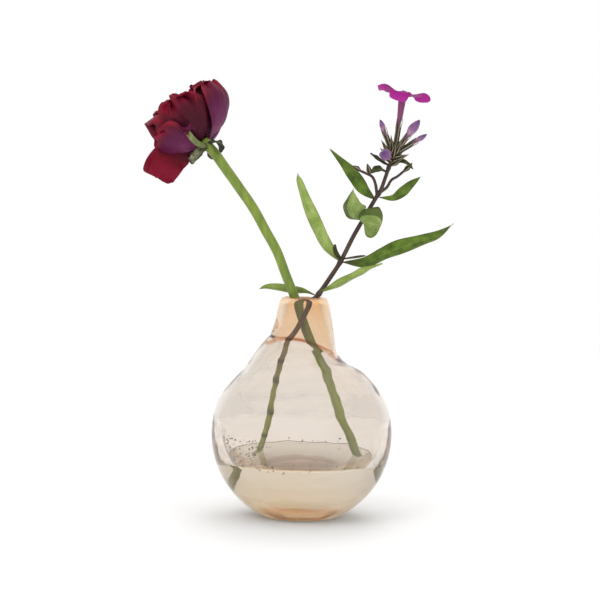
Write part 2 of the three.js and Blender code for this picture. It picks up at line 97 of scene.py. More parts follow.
make_camera()
print("camera set with a lens of", LENS_MM, "mm")

# %% [markdown]
# Every finish here is a node tree. One helper adds a node and fills its inputs, so that each
# material below reads as a short list of what it does.

# %% Helpers for node trees


def fill(node, inputs):
    """inputs maps the name or number of a node's socket to a value or to another socket."""
    for label, value in inputs.items():
        if isinstance(value, bpy.types.NodeSocket):
            node.id_data.links.new(value, node.inputs[label])
        else:
            node.inputs[label].default_value = value
    return node


def add(tree, kind, inputs=None, **settings):
    """Adds a node, sets it up and fills its inputs."""
    made = tree.nodes.new(kind)
    for label, value in settings.items():
        setattr(made, label, value)
    return fill(made, inputs or {})


def colour(code):
    """A colour written as RRGGBB, turned to the linear values that shaders use."""
    parts = [int(code[i:i + 2], 16) / 255 for i in (0, 2, 4)]
    linear = [p / 12.92 if p <= 0.04045 else ((p + 0.055) / 1.055) ** 2.4 for p in parts]
    return (*linear, 1)


def math_node(tree, operation, first, second=0.0, clamp=False):
    made = add(tree, "ShaderNodeMath", {0: first, 1: second}, operation=operation, use_clamp=clamp)
    return made.outputs[0]


def times(tree, first, second):
    return math_node(tree, "MULTIPLY", first, second)


def plus(tree, first, second):
    return math_node(tree, "ADD", first, second)


def size_of(tree, value):
    return math_node(tree, "ABSOLUTE", value)


def spread_out(tree, value, low, high, new_low=0.0, new_high=1.0, kind="SMOOTHSTEP"):
    """Maps value from low..high to new_low..new_high."""
    made = add(tree, "ShaderNodeMapRange", interpolation_type=kind, inputs={
        "Value": value, "From Min": low, "From Max": high, "To Min": new_low, "To Max": new_high})
    return made.outputs["Result"]


def ramp(tree, factor, stops):
    """A colour that changes with factor. stops is a list of (position, colour code)."""
    made = add(tree, "ShaderNodeValToRGB", {"Fac": factor})
    elements = made.color_ramp.elements
    while len(elements) > 1:
        elements.remove(elements[-1])
    elements[0].position = stops[0][0]
    elements[0].color = colour(stops[0][1])
    for position, code in stops[1:]:
        elements.new(position).color = colour(code)
    return made.outputs["Color"]


def blend_colours(tree, factor, first, second):
    made = add(tree, "ShaderNodeMix", {0: factor, 6: first, 7: second}, data_type="RGBA")
    return made.outputs[2]


def tinted(tree, shade, code, amount, strength):
    """Lays a colour over shade where amount is high, at most at this strength."""
    return blend_colours(tree, times(tree, amount, strength), shade, colour(code))


def grain(tree, where, scale, detail=3.0, stretch=(1, 1, 1)):
    """Soft noise on the given coordinates, stretched along an axis."""
    placed = add(tree, "ShaderNodeMapping", {"Vector": where, "Scale": stretch})
    made = add(tree, "ShaderNodeTexNoise", {
        "Vector": placed.outputs[0], "Scale": scale, "Detail": detail})
    return made.outputs["Fac"]


def bump(tree, height, distance, strength=1.0):
    made = add(tree, "ShaderNodeBump", {
        "Height": height, "Distance": distance, "Strength": strength})
    return made.outputs["Normal"]


def finish(name):
    """A new material with a Principled shader: gives the material, its tree and the shader."""
    material = bpy.data.materials.new(name)
    material.use_nodes = True
    tree = material.node_tree
    tree.nodes.clear()
    shader = add(tree, "ShaderNodeBsdfPrincipled")
    add(tree, "ShaderNodeOutputMaterial", {"Surface": shader.outputs[0]}).name = "Output"
    return material, tree, shader


def place_on_object(tree):
    return add(tree, "ShaderNodeTexCoord").outputs["Object"]


def axes(tree, vector):
    """The X, Y and Z of a vector."""
    return add(tree, "ShaderNodeSeparateXYZ", {0: vector}).outputs


def readings(tree, *marks):
    """What the piece's own marks say at each point of it."""
    return [add(tree, "ShaderNodeAttribute", attribute_name=mark).outputs["Fac"] for mark in marks]


# %% [markdown]
# The studio is a white room: a pale floor and an even white surround. The surround gets a little
# darker towards both sides, because clear glass shows its edges only where it bends a darker
# part of the room into view. Three large soft lamps shape the petals and leaves; they are kept
# out of reflections, where they would be hard white discs on the glass. The floor fades out
# away from the vase, like a paper sweep, so no horizon line shows. Light is followed through
# many bounces, because in a thick glass wall a path that is cut short shows as a black sliver.

# %% Studio: surround, floor and lamps
SIDE_DARKNESS = 0.72
DARKENING_STARTS = 0.25
FLOOR_SIZE = 6.0
FLOOR_FADE = (0.3, 1.5)
FLOOR_GAP = 0.0002
FLOOR_GLOW = 0.04
LIGHT_BOUNCES = 32
AIM = (cad_box[0] + cad_box[1]) / 2


def make_surround():
    world = bpy.data.worlds.new("white_room")
    bpy.context.scene.world = world
    world.use_nodes = True
    tree = world.node_tree
    tree.nodes.clear()
    direction = add(tree, "ShaderNodeTexCoord").outputs["Generated"]
    sideways = size_of(tree, axes(tree, direction)["X"])
    brightness = spread_out(tree, sideways, DARKENING_STARTS, 1.0, 1.0, SIDE_DARKNESS)
    shade = add(tree, "ShaderNodeCombineColor", {0: brightness, 1: brightness, 2: brightness})
    glow = add(tree, "ShaderNodeBackground", {"Color": shade.outputs[0], "Strength": 1.0})
    add(tree, "ShaderNodeOutputWorld", {"Surface": glow.outputs[0]})


def make_floor():
    mesh = bpy.data.meshes.new("floor")
    half = FLOOR_SIZE / 2
    corners = [(x * half, y * half, -FLOOR_GAP) for x, y in ((-1, -1), (1, -1), (1, 1), (-1, 1))]
    mesh.from_pydata(corners, [], [(0, 1, 2, 3)])
    floor = into_scene("floor", mesh)
    material, tree, shader = finish("pale_floor")
    speckle = grain(tree, place_on_object(tree), 60)
    fill(shader, {
        "Base Color": ramp(tree, speckle, [(0, "f6f5f3"), (1, "fbfaf9")]), "Roughness": 0.7,
        "Emission Color": (1, 1, 1, 1), "Emission Strength": FLOOR_GLOW})
    distance = add(tree, "ShaderNodeVectorMath", {0: place_on_object(tree)}, operation="LENGTH")
    away = spread_out(tree, distance.outputs["Value"], *FLOOR_FADE)
    clear = add(tree, "ShaderNodeBsdfTransparent")
    faded = add(tree, "ShaderNodeMixShader", {0: away, 1: shader.outputs[0], 2: clear.outputs[0]})
    fill(tree.nodes["Output"], {"Surface": faded.outputs[0]})
    mesh.materials.append(material)


def make_lamp(name, place, size, watts):
    data = bpy.data.lights.new(name, "AREA")
    data.shape = "DISK"
    data.size = size
    data.energy = watts
    lamp = into_scene(name, data)
    lamp.visible_glossy = False
    lamp.visible_transmission = False
    lamp.location = place
    lamp.rotation_euler = (AIM - Vector(place)).to_track_quat("-Z", "Y").to_euler()


make_surround()
make_floor()
make_lamp("key_lamp", (-0.7, -0.9, 1.0), 0.9, 4.2)
make_lamp("fill_lamp", (0.9, -0.7, 0.6), 0.8, 1.6)
make_lamp("back_lamp", (0.2, 0.9, 1.1), 0.8, 3)
bpy.context.scene.view_settings.view_transform = "Standard"
for limit in ("max_bounces", "transmission_bounces", "glossy_bounces"):
    setattr(bpy.context.scene.cycles, limit, LIGHT_BOUNCES)
print("studio ready, aimed at", tuple(round(c, 3) for c in AIM))

# %% [markdown]
# Nearly everything below is a closed skin wrapped over rings of points: the vase is rings around
# its axis, and a petal or leaf is flattened rings along its spine. One helper joins the rings,
# closes both ends with a single point and turns the faces outwards.

# %% Helper: a skin over rings


def store(mesh, mark, values):
    """Stores one number for each point of a mesh, for its material or recipe to read."""
    mesh.attributes.new(mark, "FLOAT", "POINT").data.foreach_set("value", np.asarray(values, np.float32))


def wrap(name, start, rings, end, marks=None):
    """A closed mesh over rings (rows, columns, 3), in millimetres, with a point at each end.
    marks maps an attribute's name to its values: (start, array of (rows, columns), end)."""
    rows, columns = rings.shape[:2]
    points = np.concatenate([[start], rings.reshape(-1, 3), [end]])
    last = len(points) - 1
    one = np.arange(columns)
    after = (one + 1) % columns
    faces = [(0, 1 + b, 1 + a) for a, b in zip(one, after)]
    for row in range(rows - 1):
        low = 1 + row * columns
        high = low + columns
        faces += [(low + a, low + b, high + b, high + a) for a, b in zip(one, after)]
    top = 1 + (rows - 1) * columns
    faces += [(top + a, top + b, last) for a, b in zip(one, after)]
    fans = [(f[0], f[k], f[k + 1]) for f in faces for k in range(1, len(f) - 1)]
    corners = points[np.array(fans)]
    volume = np.einsum("ij,ij->", corners[:, 0], np.cross(corners[:, 1], corners[:, 2]))
    order = -1 if volume < 0 else 1
    faces = [tuple(int(i) for i in face)[::order] for face in faces]
    mesh = bpy.data.meshes.new(name)
    mesh.from_pydata((points * MM).tolist(), [], faces)
    mesh.polygons.foreach_set("use_smooth", [True] * len(mesh.polygons))
    for label, (first, grid, final) in (marks or {}).items():
        values = np.concatenate([[first], np.broadcast_to(grid, (rows, columns)).ravel(), [final]])
        store(mesh, label, values)
    mesh.update()
    return into_scene(name, mesh)


def settle(piece, body, slot, material, *cad_nodes):
    """Gives a finished piece its material and its body, and hides the CAD nodes that it stands for."""
    piece.data.materials.clear()
    piece.data.materials.append(material)
    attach(piece, body)
    if cad_nodes:
        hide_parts(*cad_nodes)
    return piece


# %% [markdown]
# ## The glass
# The vase is mouth-blown: a ball that runs up into a shoulder, a kink where the neck was drawn
# out, and a rounded lip. A Screw modifier could turn the outline, but rings made in code also
# take the lean of the neck, and the soft ripples that hand-blown glass has on its inner wall.

# %% Outline of the vase
BULB_RADIUS = 45
BULB_CENTRE = 41
FOOT_RADIUS = 18.5
FOOT_ROUNDING = 1.2
SHOULDER_ANGLE = 0.31
NECK_BASE = (16.1, 87.5)
NECK_TOP = (12.8, 104)
LIP = (10.4, 109)
MOUTH = (8.2, 106.5)
BORE_FOOT = (15.3, 84.5)
INNER_EQUATOR = (41.2, 45)
BASE_THICKNESS = 8.5


def bezier(points, steps):
    """Points on the curve with these control points, without its first point."""
    share = np.linspace(0, 1, steps + 1)[1:, None]
    degree = len(points) - 1
    terms = [math.comb(degree, k) * (1 - share) ** (degree - k) * share ** k * np.array(p, float)
             for k, p in enumerate(points)]
    return sum(terms)


def outer_outline():
    first = -math.asin(BULB_CENTRE / BULB_RADIUS) + FOOT_ROUNDING / BULB_RADIUS
    angles = np.linspace(first, SHOULDER_ANGLE, 60)[1:]
    ball = np.stack([BULB_RADIUS * np.cos(angles), BULB_CENTRE + BULB_RADIUS * np.sin(angles)], 1)
    foot_end = (BULB_RADIUS * math.cos(first), BULB_CENTRE + BULB_RADIUS * math.sin(first))
    flat = [[r, 0] for r in np.linspace(0, FOOT_RADIUS - FOOT_ROUNDING, 9)[1:]]
    return np.concatenate([
        flat,
        bezier([(FOOT_RADIUS - FOOT_ROUNDING, 0), (FOOT_RADIUS, 0), foot_end], 6),
        ball,
        bezier([ball[-1], (39.1, 66.3), (22.2, 78.4), (17, 85.5)], 30),
        bezier([(17, 85.5), (16.3, 86.4), NECK_BASE], 5),
        bezier([NECK_BASE, NECK_TOP], 12),
        bezier([NECK_TOP, (12.1, LIP[1] - 0.8), LIP], 9),
        bezier([LIP, (8.6, LIP[1]), MOUTH], 9),
    ])


def inner_outline():
    return np.concatenate([
        bezier([MOUTH, (8.4, 101), (13.4, 93), BORE_FOOT], 20),
        bezier([BORE_FOOT, (21, 77), (41.2, 61), INNER_EQUATOR], 34),
        bezier([INNER_EQUATOR, (41.2, 24), (26, BASE_THICKNESS), (0, BASE_THICKNESS)], 44)[:-1],
    ])


print("outline points:", len(outer_outline()), "outside and", len(inner_outline()), "inside")

# %% Turn the outline into the vase
VASE_SEGMENTS = 144
LEAN_SLOPE = 0.235
LEAN_HEIGHT = 85
LEAN_REACH = 14
RIPPLE_DEPTH = 0.13


def lean(points):
    """Tips the base of the neck, a little higher on the left than on the right."""
    away = np.clip((points[..., 2] - LEAN_HEIGHT) / LEAN_REACH, -1, 1)
    share = np.cos(math.pi / 2 * away) ** 2
    points[..., 2] -= LEAN_SLOPE * points[..., 0] * share
    return points


def ripples(turn, height):
    """Soft waves left by the blowpipe, strongest on the shoulder and gone towards the sides."""
    front = np.clip(-np.sin(turn), 0, 1) ** 1.5
    shoulder = np.exp(-((height - 70) / 11) ** 2)
    rings = np.sin(height * 0.95 + 1.6 * np.sin(2 * turn) + 0.8 * np.sin(3 * turn + 1))
    lumps = np.sin(3 * turn + height * 0.16) * np.sin(5 * turn - height * 0.11 + 2)
    return RIPPLE_DEPTH * front * (shoulder * rings + 0.5 * lumps * np.exp(-((height - 55) / 24) ** 2))


def turn_outline(outline, wave=0.0):
    turn = np.linspace(0, 2 * math.pi, VASE_SEGMENTS, endpoint=False)
    radius, height = outline[:, :1], outline[:, 1:]
    radius = radius + wave * ripples(turn[None, :], height)
    height = np.broadcast_to(height, radius.shape)
    return np.stack([radius * np.cos(turn), radius * np.sin(turn), height], -1)


def make_vase():
    outside = turn_outline(outer_outline(), 0.0)
    inside = turn_outline(inner_outline(), 1.0)
    rings = lean(np.concatenate([outside, inside]))
    return wrap("vase", [0, 0, 0], rings, [0, 0, BASE_THICKNESS])


vase = make_vase()
print("vase faces:", len(vase.data.polygons))

# %% [markdown]
# Real coloured glass is tinted all through, so a thick wall looks darker than a thin one. Volume
# absorption does just that. The amber is stronger in the neck, where the gather of colour was
# left, and in a patch on the floor of the bowl. A thin dark amber ring where the neck begins is
# painted shade, for the line that the inner crease shows there. So the surface tint changes with
# height along the tilted neck line, and inside a small radius below.

# %% Glass finish
RING_ARCH = 18.5
RING_ARCH_REACH = 0.018
RING_DROP = 0.003
TINT_TOP = 0.115
GLASS_INDEX = 1.5
GLASS_DEPTH = {"Color": (0.84, 0.66, 0.44, 1), "Density": 16.0}


def champagne_glass():
    material, tree, shader = finish("champagne_glass")
    where = place_on_object(tree)
    x, y, height = axes(tree, where)
    near = math_node(tree, "MINIMUM", size_of(tree, x), RING_ARCH_REACH)
    arch = times(tree, math_node(tree, "POWER", near, 2), RING_ARCH)
    tilt = plus(tree, times(tree, x, LEAN_SLOPE), math_node(tree, "SUBTRACT", arch, RING_DROP))
    cloud = times(tree, math_node(tree, "SUBTRACT", grain(tree, where, 40), 0.5), 0.002)
    level = plus(tree, plus(tree, height, tilt), cloud)
    # The narrow dark stop at 0.742 is a painted shade line, for the inner crease where the neck begins.
    tint = ramp(tree, spread_out(tree, level, 0.0, TINT_TOP, kind="LINEAR"), [
        (0.0, "f3e2c6"), (0.1, "f1eae0"), (0.3, "efebe7"), (0.6, "efeae5"), (0.73, "efe8e0"),
        (0.742, "c98a58"), (0.754, "f2e0cc"), (0.84, "f4e0c8"), (0.93, "f3d4b0"), (1.0, "e8ae74")])
    squares = [math_node(tree, "POWER", side, 2) for side in (x, y)]
    radius = math_node(tree, "SQRT", plus(tree, *squares))
    patch = times(tree, spread_out(tree, radius, 0.019, 0.017), spread_out(tree, height, 0.0125, 0.0105))
    patch = times(tree, patch, spread_out(tree, height, 0.004, 0.006))
    tint = tinted(tree, tint, "cf8f58", patch, 0.7)
    fill(shader, {
        "Base Color": tint, "Transmission Weight": 1.0, "Roughness": 0.0, "IOR": GLASS_INDEX,
        "Normal": bump(tree, grain(tree, where, 90, 1.0), 0.0006, 0.25)})
    depth = add(tree, "ShaderNodeVolumeAbsorption", GLASS_DEPTH)
    fill(tree.nodes["Output"], {"Volume": depth.outputs[0]})
    return material


settle(vase, "vase", "vase_glass", champagne_glass(), "vase_glass")
print("glass finish on", vase.name)

# %% [markdown]
# ## The water
# The water fills the bottom of the bowl and climbs a little where it meets the glass. It could
# stop exactly at the glass, but then a hair of air would show between them as a mirror. So the
# water reaches a little way into the wall, which makes the two read as one.

# %% Water
WATER_LEVEL = 28
WALL_BITE = 0.15
MENISCUS_RISE = 0.9
MENISCUS_REACH = 2.2
WATER_INDEX = 1.333


def make_water():
    bowl = inner_outline()[::-1]
    bowl = bowl[bowl[:, 1] < WATER_LEVEL + MENISCUS_RISE]
    wall = bowl + [WALL_BITE, -WALL_BITE * 0.5]
    brim = wall[-1, 0]
    inward = np.linspace(0.12, 1, 9)
    curve = [[brim - MENISCUS_REACH * s, WATER_LEVEL + MENISCUS_RISE * (1 - s) ** 2.2] for s in inward]
    flat = [[brim * s, WATER_LEVEL] for s in (0.88, 0.7, 0.5, 0.3, 0.12)]
    rings = turn_outline(np.concatenate([wall, curve, flat]))
    return wrap("water_fill", [0, 0, BASE_THICKNESS - WALL_BITE * 0.5], rings, [0, 0, WATER_LEVEL])


def clear_water():
    material, tree, shader = finish("clear_water")
    where = place_on_object(tree)
    haze = ramp(tree, grain(tree, where, 30), [(0, "f9f8f0"), (1, "fdfcf8")])
    fill(shader, {
        "Base Color": haze, "Transmission Weight": 1.0, "Roughness": 0.0, "IOR": WATER_INDEX})
    return material


water = make_water()
settle(water, "vase", "water", clear_water(), "water")
print("water faces:", len(water.data.polygons))

# %% [markdown]
# ## Bubbles
# Some two hundred tiny bubbles cling to the glass just above and below the water's edge, mostly
# on the left. Placing each by hand would be slow, so Geometry Nodes scatters points over a narrow band
# with a fixed seed, puts a small ball on each and varies its size.

# %% Helpers for Geometry Nodes


def recipe(name, inputs):
    """A new node group that grows geometry: gives the tree, its ends and the inputs' keys."""
    tree = bpy.data.node_groups.new(name, "GeometryNodeTree")
    tree.interface.new_socket("Geometry", in_out="OUTPUT", socket_type="NodeSocketGeometry")
    keys = {}
    for label, kind in inputs:
        socket = tree.interface.new_socket(label, in_out="INPUT", socket_type=kind)
        keys[label] = socket.identifier
    return tree, tree.nodes.new("NodeGroupInput"), tree.nodes.new("NodeGroupOutput"), keys


def hand_over(tree, enter, leave, geometry):
    """The last step of a recipe: gives the geometry its finish and passes it on."""
    finished = add(tree, "GeometryNodeSetMaterial", {
        "Geometry": geometry, "Material": enter.outputs["Finish"]})
    fill(leave, {0: finished.outputs[0]})


def grow(name, carrier, tree, keys, values):
    """Runs a recipe on a carrier object and gives the result as a plain mesh object."""
    modifier = carrier.modifiers.new(tree.name, "NODES")
    modifier.node_group = tree
    for label, value in values.items():
        modifier[keys[label]] = value
    graph = bpy.context.evaluated_depsgraph_get()
    mesh = bpy.data.meshes.new_from_object(carrier.evaluated_get(graph))
    mesh.name = name
    bpy.data.objects.remove(carrier)
    return into_scene(name, mesh)


def carrier_mesh(name, points, edges=(), faces=()):
    mesh = bpy.data.meshes.new(name)
    mesh.from_pydata((np.array(points, float) * MM).tolist(), edges, faces)
    return into_scene(name, mesh)


# %% Scatter the bubbles
BUBBLES = 150
BUBBLE_RADIUS_MM = (0.16, 0.5)


def bubble_skin():
    """Each bubble reads as a dark speck: it bends the light away, and its grey tint is painted shade."""
    material, tree, shader = finish("bubble_skin")
    cloud = grain(tree, place_on_object(tree), 900)
    fill(shader, {
        # The grey-brown tint is painted shade, so that each bubble reads dark.
        "Base Color": ramp(tree, cloud, [(0.3, "8d867a"), (0.7, "c9c2b4")]),
        "Transmission Weight": 0.8, "Roughness": 0.05, "IOR": WATER_INDEX})
    return material


BUBBLE_SKIN = bubble_skin()


def bubble_recipe():
    tree, enter, leave, keys = recipe("bubbles", [
        ("Geometry", "NodeSocketGeometry"), ("Density", "NodeSocketFloat"),
        ("Smallest", "NodeSocketFloat"), ("Largest", "NodeSocketFloat"),
        ("Seed", "NodeSocketInt"), ("Finish", "NodeSocketMaterial")])
    scatter = add(tree, "GeometryNodeDistributePointsOnFaces", {
        "Mesh": enter.outputs["Geometry"], "Density": enter.outputs["Density"],
        "Seed": enter.outputs["Seed"]})
    ball = add(tree, "GeometryNodeMeshIcoSphere", {"Radius": 1.0, "Subdivisions": 2})
    size = add(tree, "FunctionNodeRandomValue", {
        2: enter.outputs["Smallest"], 3: enter.outputs["Largest"], "Seed": enter.outputs["Seed"]})
    put = add(tree, "GeometryNodeInstanceOnPoints", {
        "Points": scatter.outputs["Points"], "Instance": ball.outputs["Mesh"],
        "Scale": size.outputs[1]})
    real = add(tree, "GeometryNodeRealizeInstances", {0: put.outputs[0]})
    smooth = add(tree, "GeometryNodeSetShadeSmooth", {0: real.outputs[0]})
    hand_over(tree, enter, leave, smooth.outputs[0])
    return tree, keys


def waterline_band(first_degrees, last_degrees, low, high, steps=40):
    """A strip of faces just inside the glass, between two directions and two heights."""
    inner = inner_outline()
    order = np.argsort(inner[:, 1])
    heights = np.linspace(low, high, 5)
    radii = np.interp(heights, inner[order, 1], inner[order, 0]) - 0.45
    turn = np.radians(np.linspace(first_degrees, last_degrees, steps))
    points = [[r * math.cos(t), r * math.sin(t), z] for z, r in zip(heights, radii) for t in turn]
    faces = [(k * steps + i, k * steps + i + 1, (k + 1) * steps + i + 1, (k + 1) * steps + i)
             for k in range(len(heights) - 1) for i in range(steps - 1)]
    return carrier_mesh("band", points, faces=faces)


def make_bubbles(name, band, amount, seed):
    tree, keys = bubble_recipe()
    area = sum(face.area for face in band.data.polygons)
    return grow(name, band, tree, keys, {
        "Density": amount / area, "Smallest": BUBBLE_RADIUS_MM[0] * MM,
        "Largest": BUBBLE_RADIUS_MM[1] * MM, "Seed": seed, "Finish": BUBBLE_SKIN})


left_bubbles = make_bubbles("bubbles_left", waterline_band(165, 250, 27, 41), BUBBLES, 4)
ring_bubbles = make_bubbles("bubbles_ring", waterline_band(0, 359, 26, 31), BUBBLES // 2, 9)
for bubbles in (left_bubbles, ring_bubbles):
    settle(bubbles, "vase", "water", BUBBLE_SKIN)
print("bubble faces:", len(left_bubbles.data.polygons) + len(ring_bubbles.data.polygons))

# %% [markdown]
# ## Stalks
# A stalk is a round section carried along a curve, thinner at one end, with fine ribs running
# along it. Geometry Nodes does this well: a line of points that carry their own radius becomes a
# curve, and a many-pointed star is swept along it for the ribs. One recipe makes every stalk.

# %% Paths and the stalk recipe


def unit(vector):
    vector = np.array(vector, float)
    return vector / np.linalg.norm(vector, axis=-1, keepdims=True)


def smooth_path(points):
    """A smooth curve through the points, read at shares from 0 to 1."""
    through = np.array(points, float)
    ends = np.vstack([2 * through[0] - through[1], through, 2 * through[-1] - through[-2]])
    spans = len(through) - 1

    def at(share):
        share = np.clip(np.asarray(share, float), 0, 1) * spans
        span = np.minimum(share.astype(int), spans - 1)
        part = (share - span)[..., None]
        a, b, c, d = ends[span], ends[span + 1], ends[span + 2], ends[span + 3]
        return 0.5 * (2 * b + (c - a) * part + (2 * a - 5 * b + 4 * c - d) * part ** 2
                      + (3 * b - a - 3 * c + d) * part ** 3)

    return at


def stalk_recipe():
    tree, enter, leave, keys = recipe("stalk", [
        ("Geometry", "NodeSocketGeometry"), ("Ribs", "NodeSocketInt"),
        ("Rib Bottom", "NodeSocketFloat"), ("Finish", "NodeSocketMaterial")])
    curve = add(tree, "GeometryNodeMeshToCurve", {0: enter.outputs["Geometry"]})
    thickness = add(tree, "GeometryNodeInputNamedAttribute", {"Name": "thickness"}, data_type="FLOAT")
    sized = add(tree, "GeometryNodeSetCurveRadius", {
        "Curve": curve.outputs[0], "Radius": thickness.outputs["Attribute"]})
    section = add(tree, "GeometryNodeCurveStar", {
        "Points": enter.outputs["Ribs"], "Inner Radius": enter.outputs["Rib Bottom"],
        "Outer Radius": 1.0})
    swept = add(tree, "GeometryNodeCurveToMesh", {
        "Curve": sized.outputs[0], "Profile Curve": section.outputs[0], "Fill Caps": True})
    if "Scale" in swept.inputs:
        tree.links.new(thickness.outputs["Attribute"], swept.inputs["Scale"])
    smooth = add(tree, "GeometryNodeSetShadeSmooth", {0: swept.outputs[0]})
    real = add(tree, "GeometryNodeRealizeInstances", {0: smooth.outputs[0]})
    hand_over(tree, enter, leave, real.outputs[0])
    return tree, keys


STALK_TREE, STALK_KEYS = stalk_recipe()
STALK_RIBS = 11


def stalk(name, points, radius, material, steps=90, rib_bottom=0.95, joint=None):
    """radius is a function of the share along the path and of the height there, in millimetres.
    joint, if given, is a function of the height that is 1 at each joint of the stem."""
    share = np.linspace(0, 1, steps)
    path = smooth_path(points)(share)
    line = carrier_mesh(name, path, edges=[(i, i + 1) for i in range(steps - 1)])
    values = np.array([radius(s, p[2]) for s, p in zip(share, path)]) * MM
    store(line.data, "thickness", values)
    if joint:
        store(line.data, "joint", [joint(p[2]) for p in path])
    return grow(name, line, STALK_TREE, STALK_KEYS, {
        "Ribs": STALK_RIBS, "Rib Bottom": rib_bottom, "Finish": material})


def taper(first, last):
    return lambda share, height: first + (last - first) * share


# %% [markdown]
# Stems are never one flat green. The ranunculus stem is yellow-green with fine pale streaks and a
# soft gloss, and is painted lighter where it stands inside the vase: painted light, for the light
# that the glass takes away. The phlox stem is purple-brown where the sun reached it, with a dark
# ring at each joint, and turns olive and then green towards its foot. The height in the object
# decides where both change.

# %% Stem finishes


def stem_green(name, dark, middle, light, blotch_colour):
    material, tree, shader = finish(name)
    where = place_on_object(tree)
    streak = grain(tree, where, 260, 4, (1, 1, 0.1))
    shade = ramp(tree, streak, [(0.3, dark), (0.5, middle), (0.7, light)])
    height = axes(tree, where)["Z"]
    # Painted light: lighter below about 10 cm, where the stem stands inside the vase, to make up for the
    # light that the glass takes away.
    shade = blend_colours(tree, spread_out(tree, height, 0.1, 0.07, 0.0, 0.75), shade, colour("c3d07c"))
    blotch = spread_out(tree, grain(tree, where, 70), 0.55, 0.75, 0.0, 0.5)
    shade = blend_colours(tree, blotch, shade, colour(blotch_colour))
    fill(shader, {"Base Color": shade, "Roughness": 0.42, "Normal": bump(tree, streak, 0.0004, 0.5)})
    return material


def phlox_brown():
    material, tree, shader = finish("phlox_brown")
    where = place_on_object(tree)
    height = axes(tree, where)["Z"]
    patch = times(tree, grain(tree, where, 110, 4, (1, 1, 0.4)), 0.03)
    level = plus(tree, height, patch)
    shade = ramp(tree, spread_out(tree, level, 0.03, 0.21, kind="LINEAR"), [
        (0.0, "c2cc72"), (0.22, "bcc068"), (0.38, "a8924c"), (0.46, "4c3826"), (0.75, "38211d"),
        (0.9, "3c2428"), (1.0, "2e1b20")])
    streak = spread_out(tree, grain(tree, where, 420, 3, (1, 1, 0.08)), 0.45, 0.8)
    shade = tinted(tree, shade, "80794f", streak, 0.25)
    shade = tinted(tree, shade, "33261c", readings(tree, "joint")[0], 0.7)
    fill(shader, {"Base Color": shade, "Roughness": 0.5, "Normal": bump(tree, streak, 0.0004, 0.5)})
    return material


RANUNCULUS_GREEN = stem_green("ranunculus_green", "5e7224", "748a2e", "889a3a", "687e30")
SHOOT_GREEN = stem_green("shoot_green", "56602f", "6f7a42", "8c9460", "5c4a34")
PHLOX_BROWN = phlox_brown()

# %% The two stems
RANUNCULUS_RISE = unit([-0.41, -0.0186, 1])
RANUNCULUS_NECK = np.array([-5.4, 2.6, 110.4])
RANUNCULUS_INSIDE = 95.1
RANUNCULUS_BENDS = [
    [-9.8, 2.6, 121], [-14, 2.5, 131.5], [-20, 2.3, 142], [-26, 2, 152.5], [-33.5, 2, 163],
    [-40.5, 2, 172.5], [-45.5, 2, 179.3], [-48, 2, 182], [-49.8, 2.2, 184]]
PHLOX_RISE = unit([0.31, -0.15, 1])
PHLOX_FOOT = np.array([-24.8, 10.4, 17.7])
PHLOX_STRAIGHT = 20
PHLOX_BENDS = [
    [-16.5, 5.3, 49.5], [-14.6, 3.4, 59], [-12, 0.6, 73], [-9.5, -1, 81], [-7.8, -1.5, 87],
    [-3.9, -2, 93], [0, -2.4, 100], [3.8, -2.2, 107], [7, -2, 110.5], [13, -1.5, 119.5],
    [17.9, -1, 127.5], [24, 0, 140], [30.2, 0, 151.2], [35, 0, 159.6], [37, 0, 163],
    [38.9, 0, 168.5], [40.8, 0, 174.5], [43.2, 0, 181.5]]
PHLOX_JOINT_HEIGHTS = [37, 52, 66, 76, 88, 111, 127, 150, 161, 174]


def phlox_joint(height):
    """1 at each joint where leaves grow, and 0 a little way off."""
    return sum(math.exp(-((height - joint) / 1.1) ** 2) for joint in PHLOX_JOINT_HEIGHTS)


def phlox_radius(share, height):
    return 1.6 - 0.72 * share + 0.34 * phlox_joint(height)


inside = [RANUNCULUS_NECK - RANUNCULUS_RISE * RANUNCULUS_INSIDE * s for s in (1, 0.75, 0.5, 0.25, 0)]
ranunculus_stalk = stalk("ranunculus_stalk", [*inside, *RANUNCULUS_BENDS], taper(2.2, 2.6),
                         RANUNCULUS_GREEN, steps=110, rib_bottom=0.975)
settle(ranunculus_stalk, "ranunculus", "ranunculus_stem", RANUNCULUS_GREEN, "ranunculus_stem")

foot_stretch = [PHLOX_FOOT + PHLOX_RISE * PHLOX_STRAIGHT * s for s in (0, 0.5, 1)]
phlox_points = [*foot_stretch, *PHLOX_BENDS]
phlox_stalk = stalk("phlox_stalk", phlox_points, phlox_radius, PHLOX_BROWN, steps=220, joint=phlox_joint)
settle(phlox_stalk, "phlox", "phlox_stem", PHLOX_BROWN, "phlox_stem")
print("stem faces:", len(ranunculus_stalk.data.polygons), len(phlox_stalk.data.polygons))

# %% [markdown]
# ## Petals and leaves
# A petal or leaf is a thin curved sheet. It could be a flat plane with a Solidify modifier, but
# a skin of flattened rings gives it a real thickness that thins to a soft edge, and it is closed
# from the start. Each sheet also stores where every point lies across and along it, and which
# side it is on, so that veins and colours follow the shape.

# %% Helper: a thin closed sheet


def spread(along, widest, fullness):
    """How wide a sheet is along its length: 1 at its widest, 0 at both ends."""
    rise, fall = widest / fullness, (1 - widest) / fullness
    return along ** rise * (1 - along) ** fall / (widest ** rise * (1 - widest) ** fall)


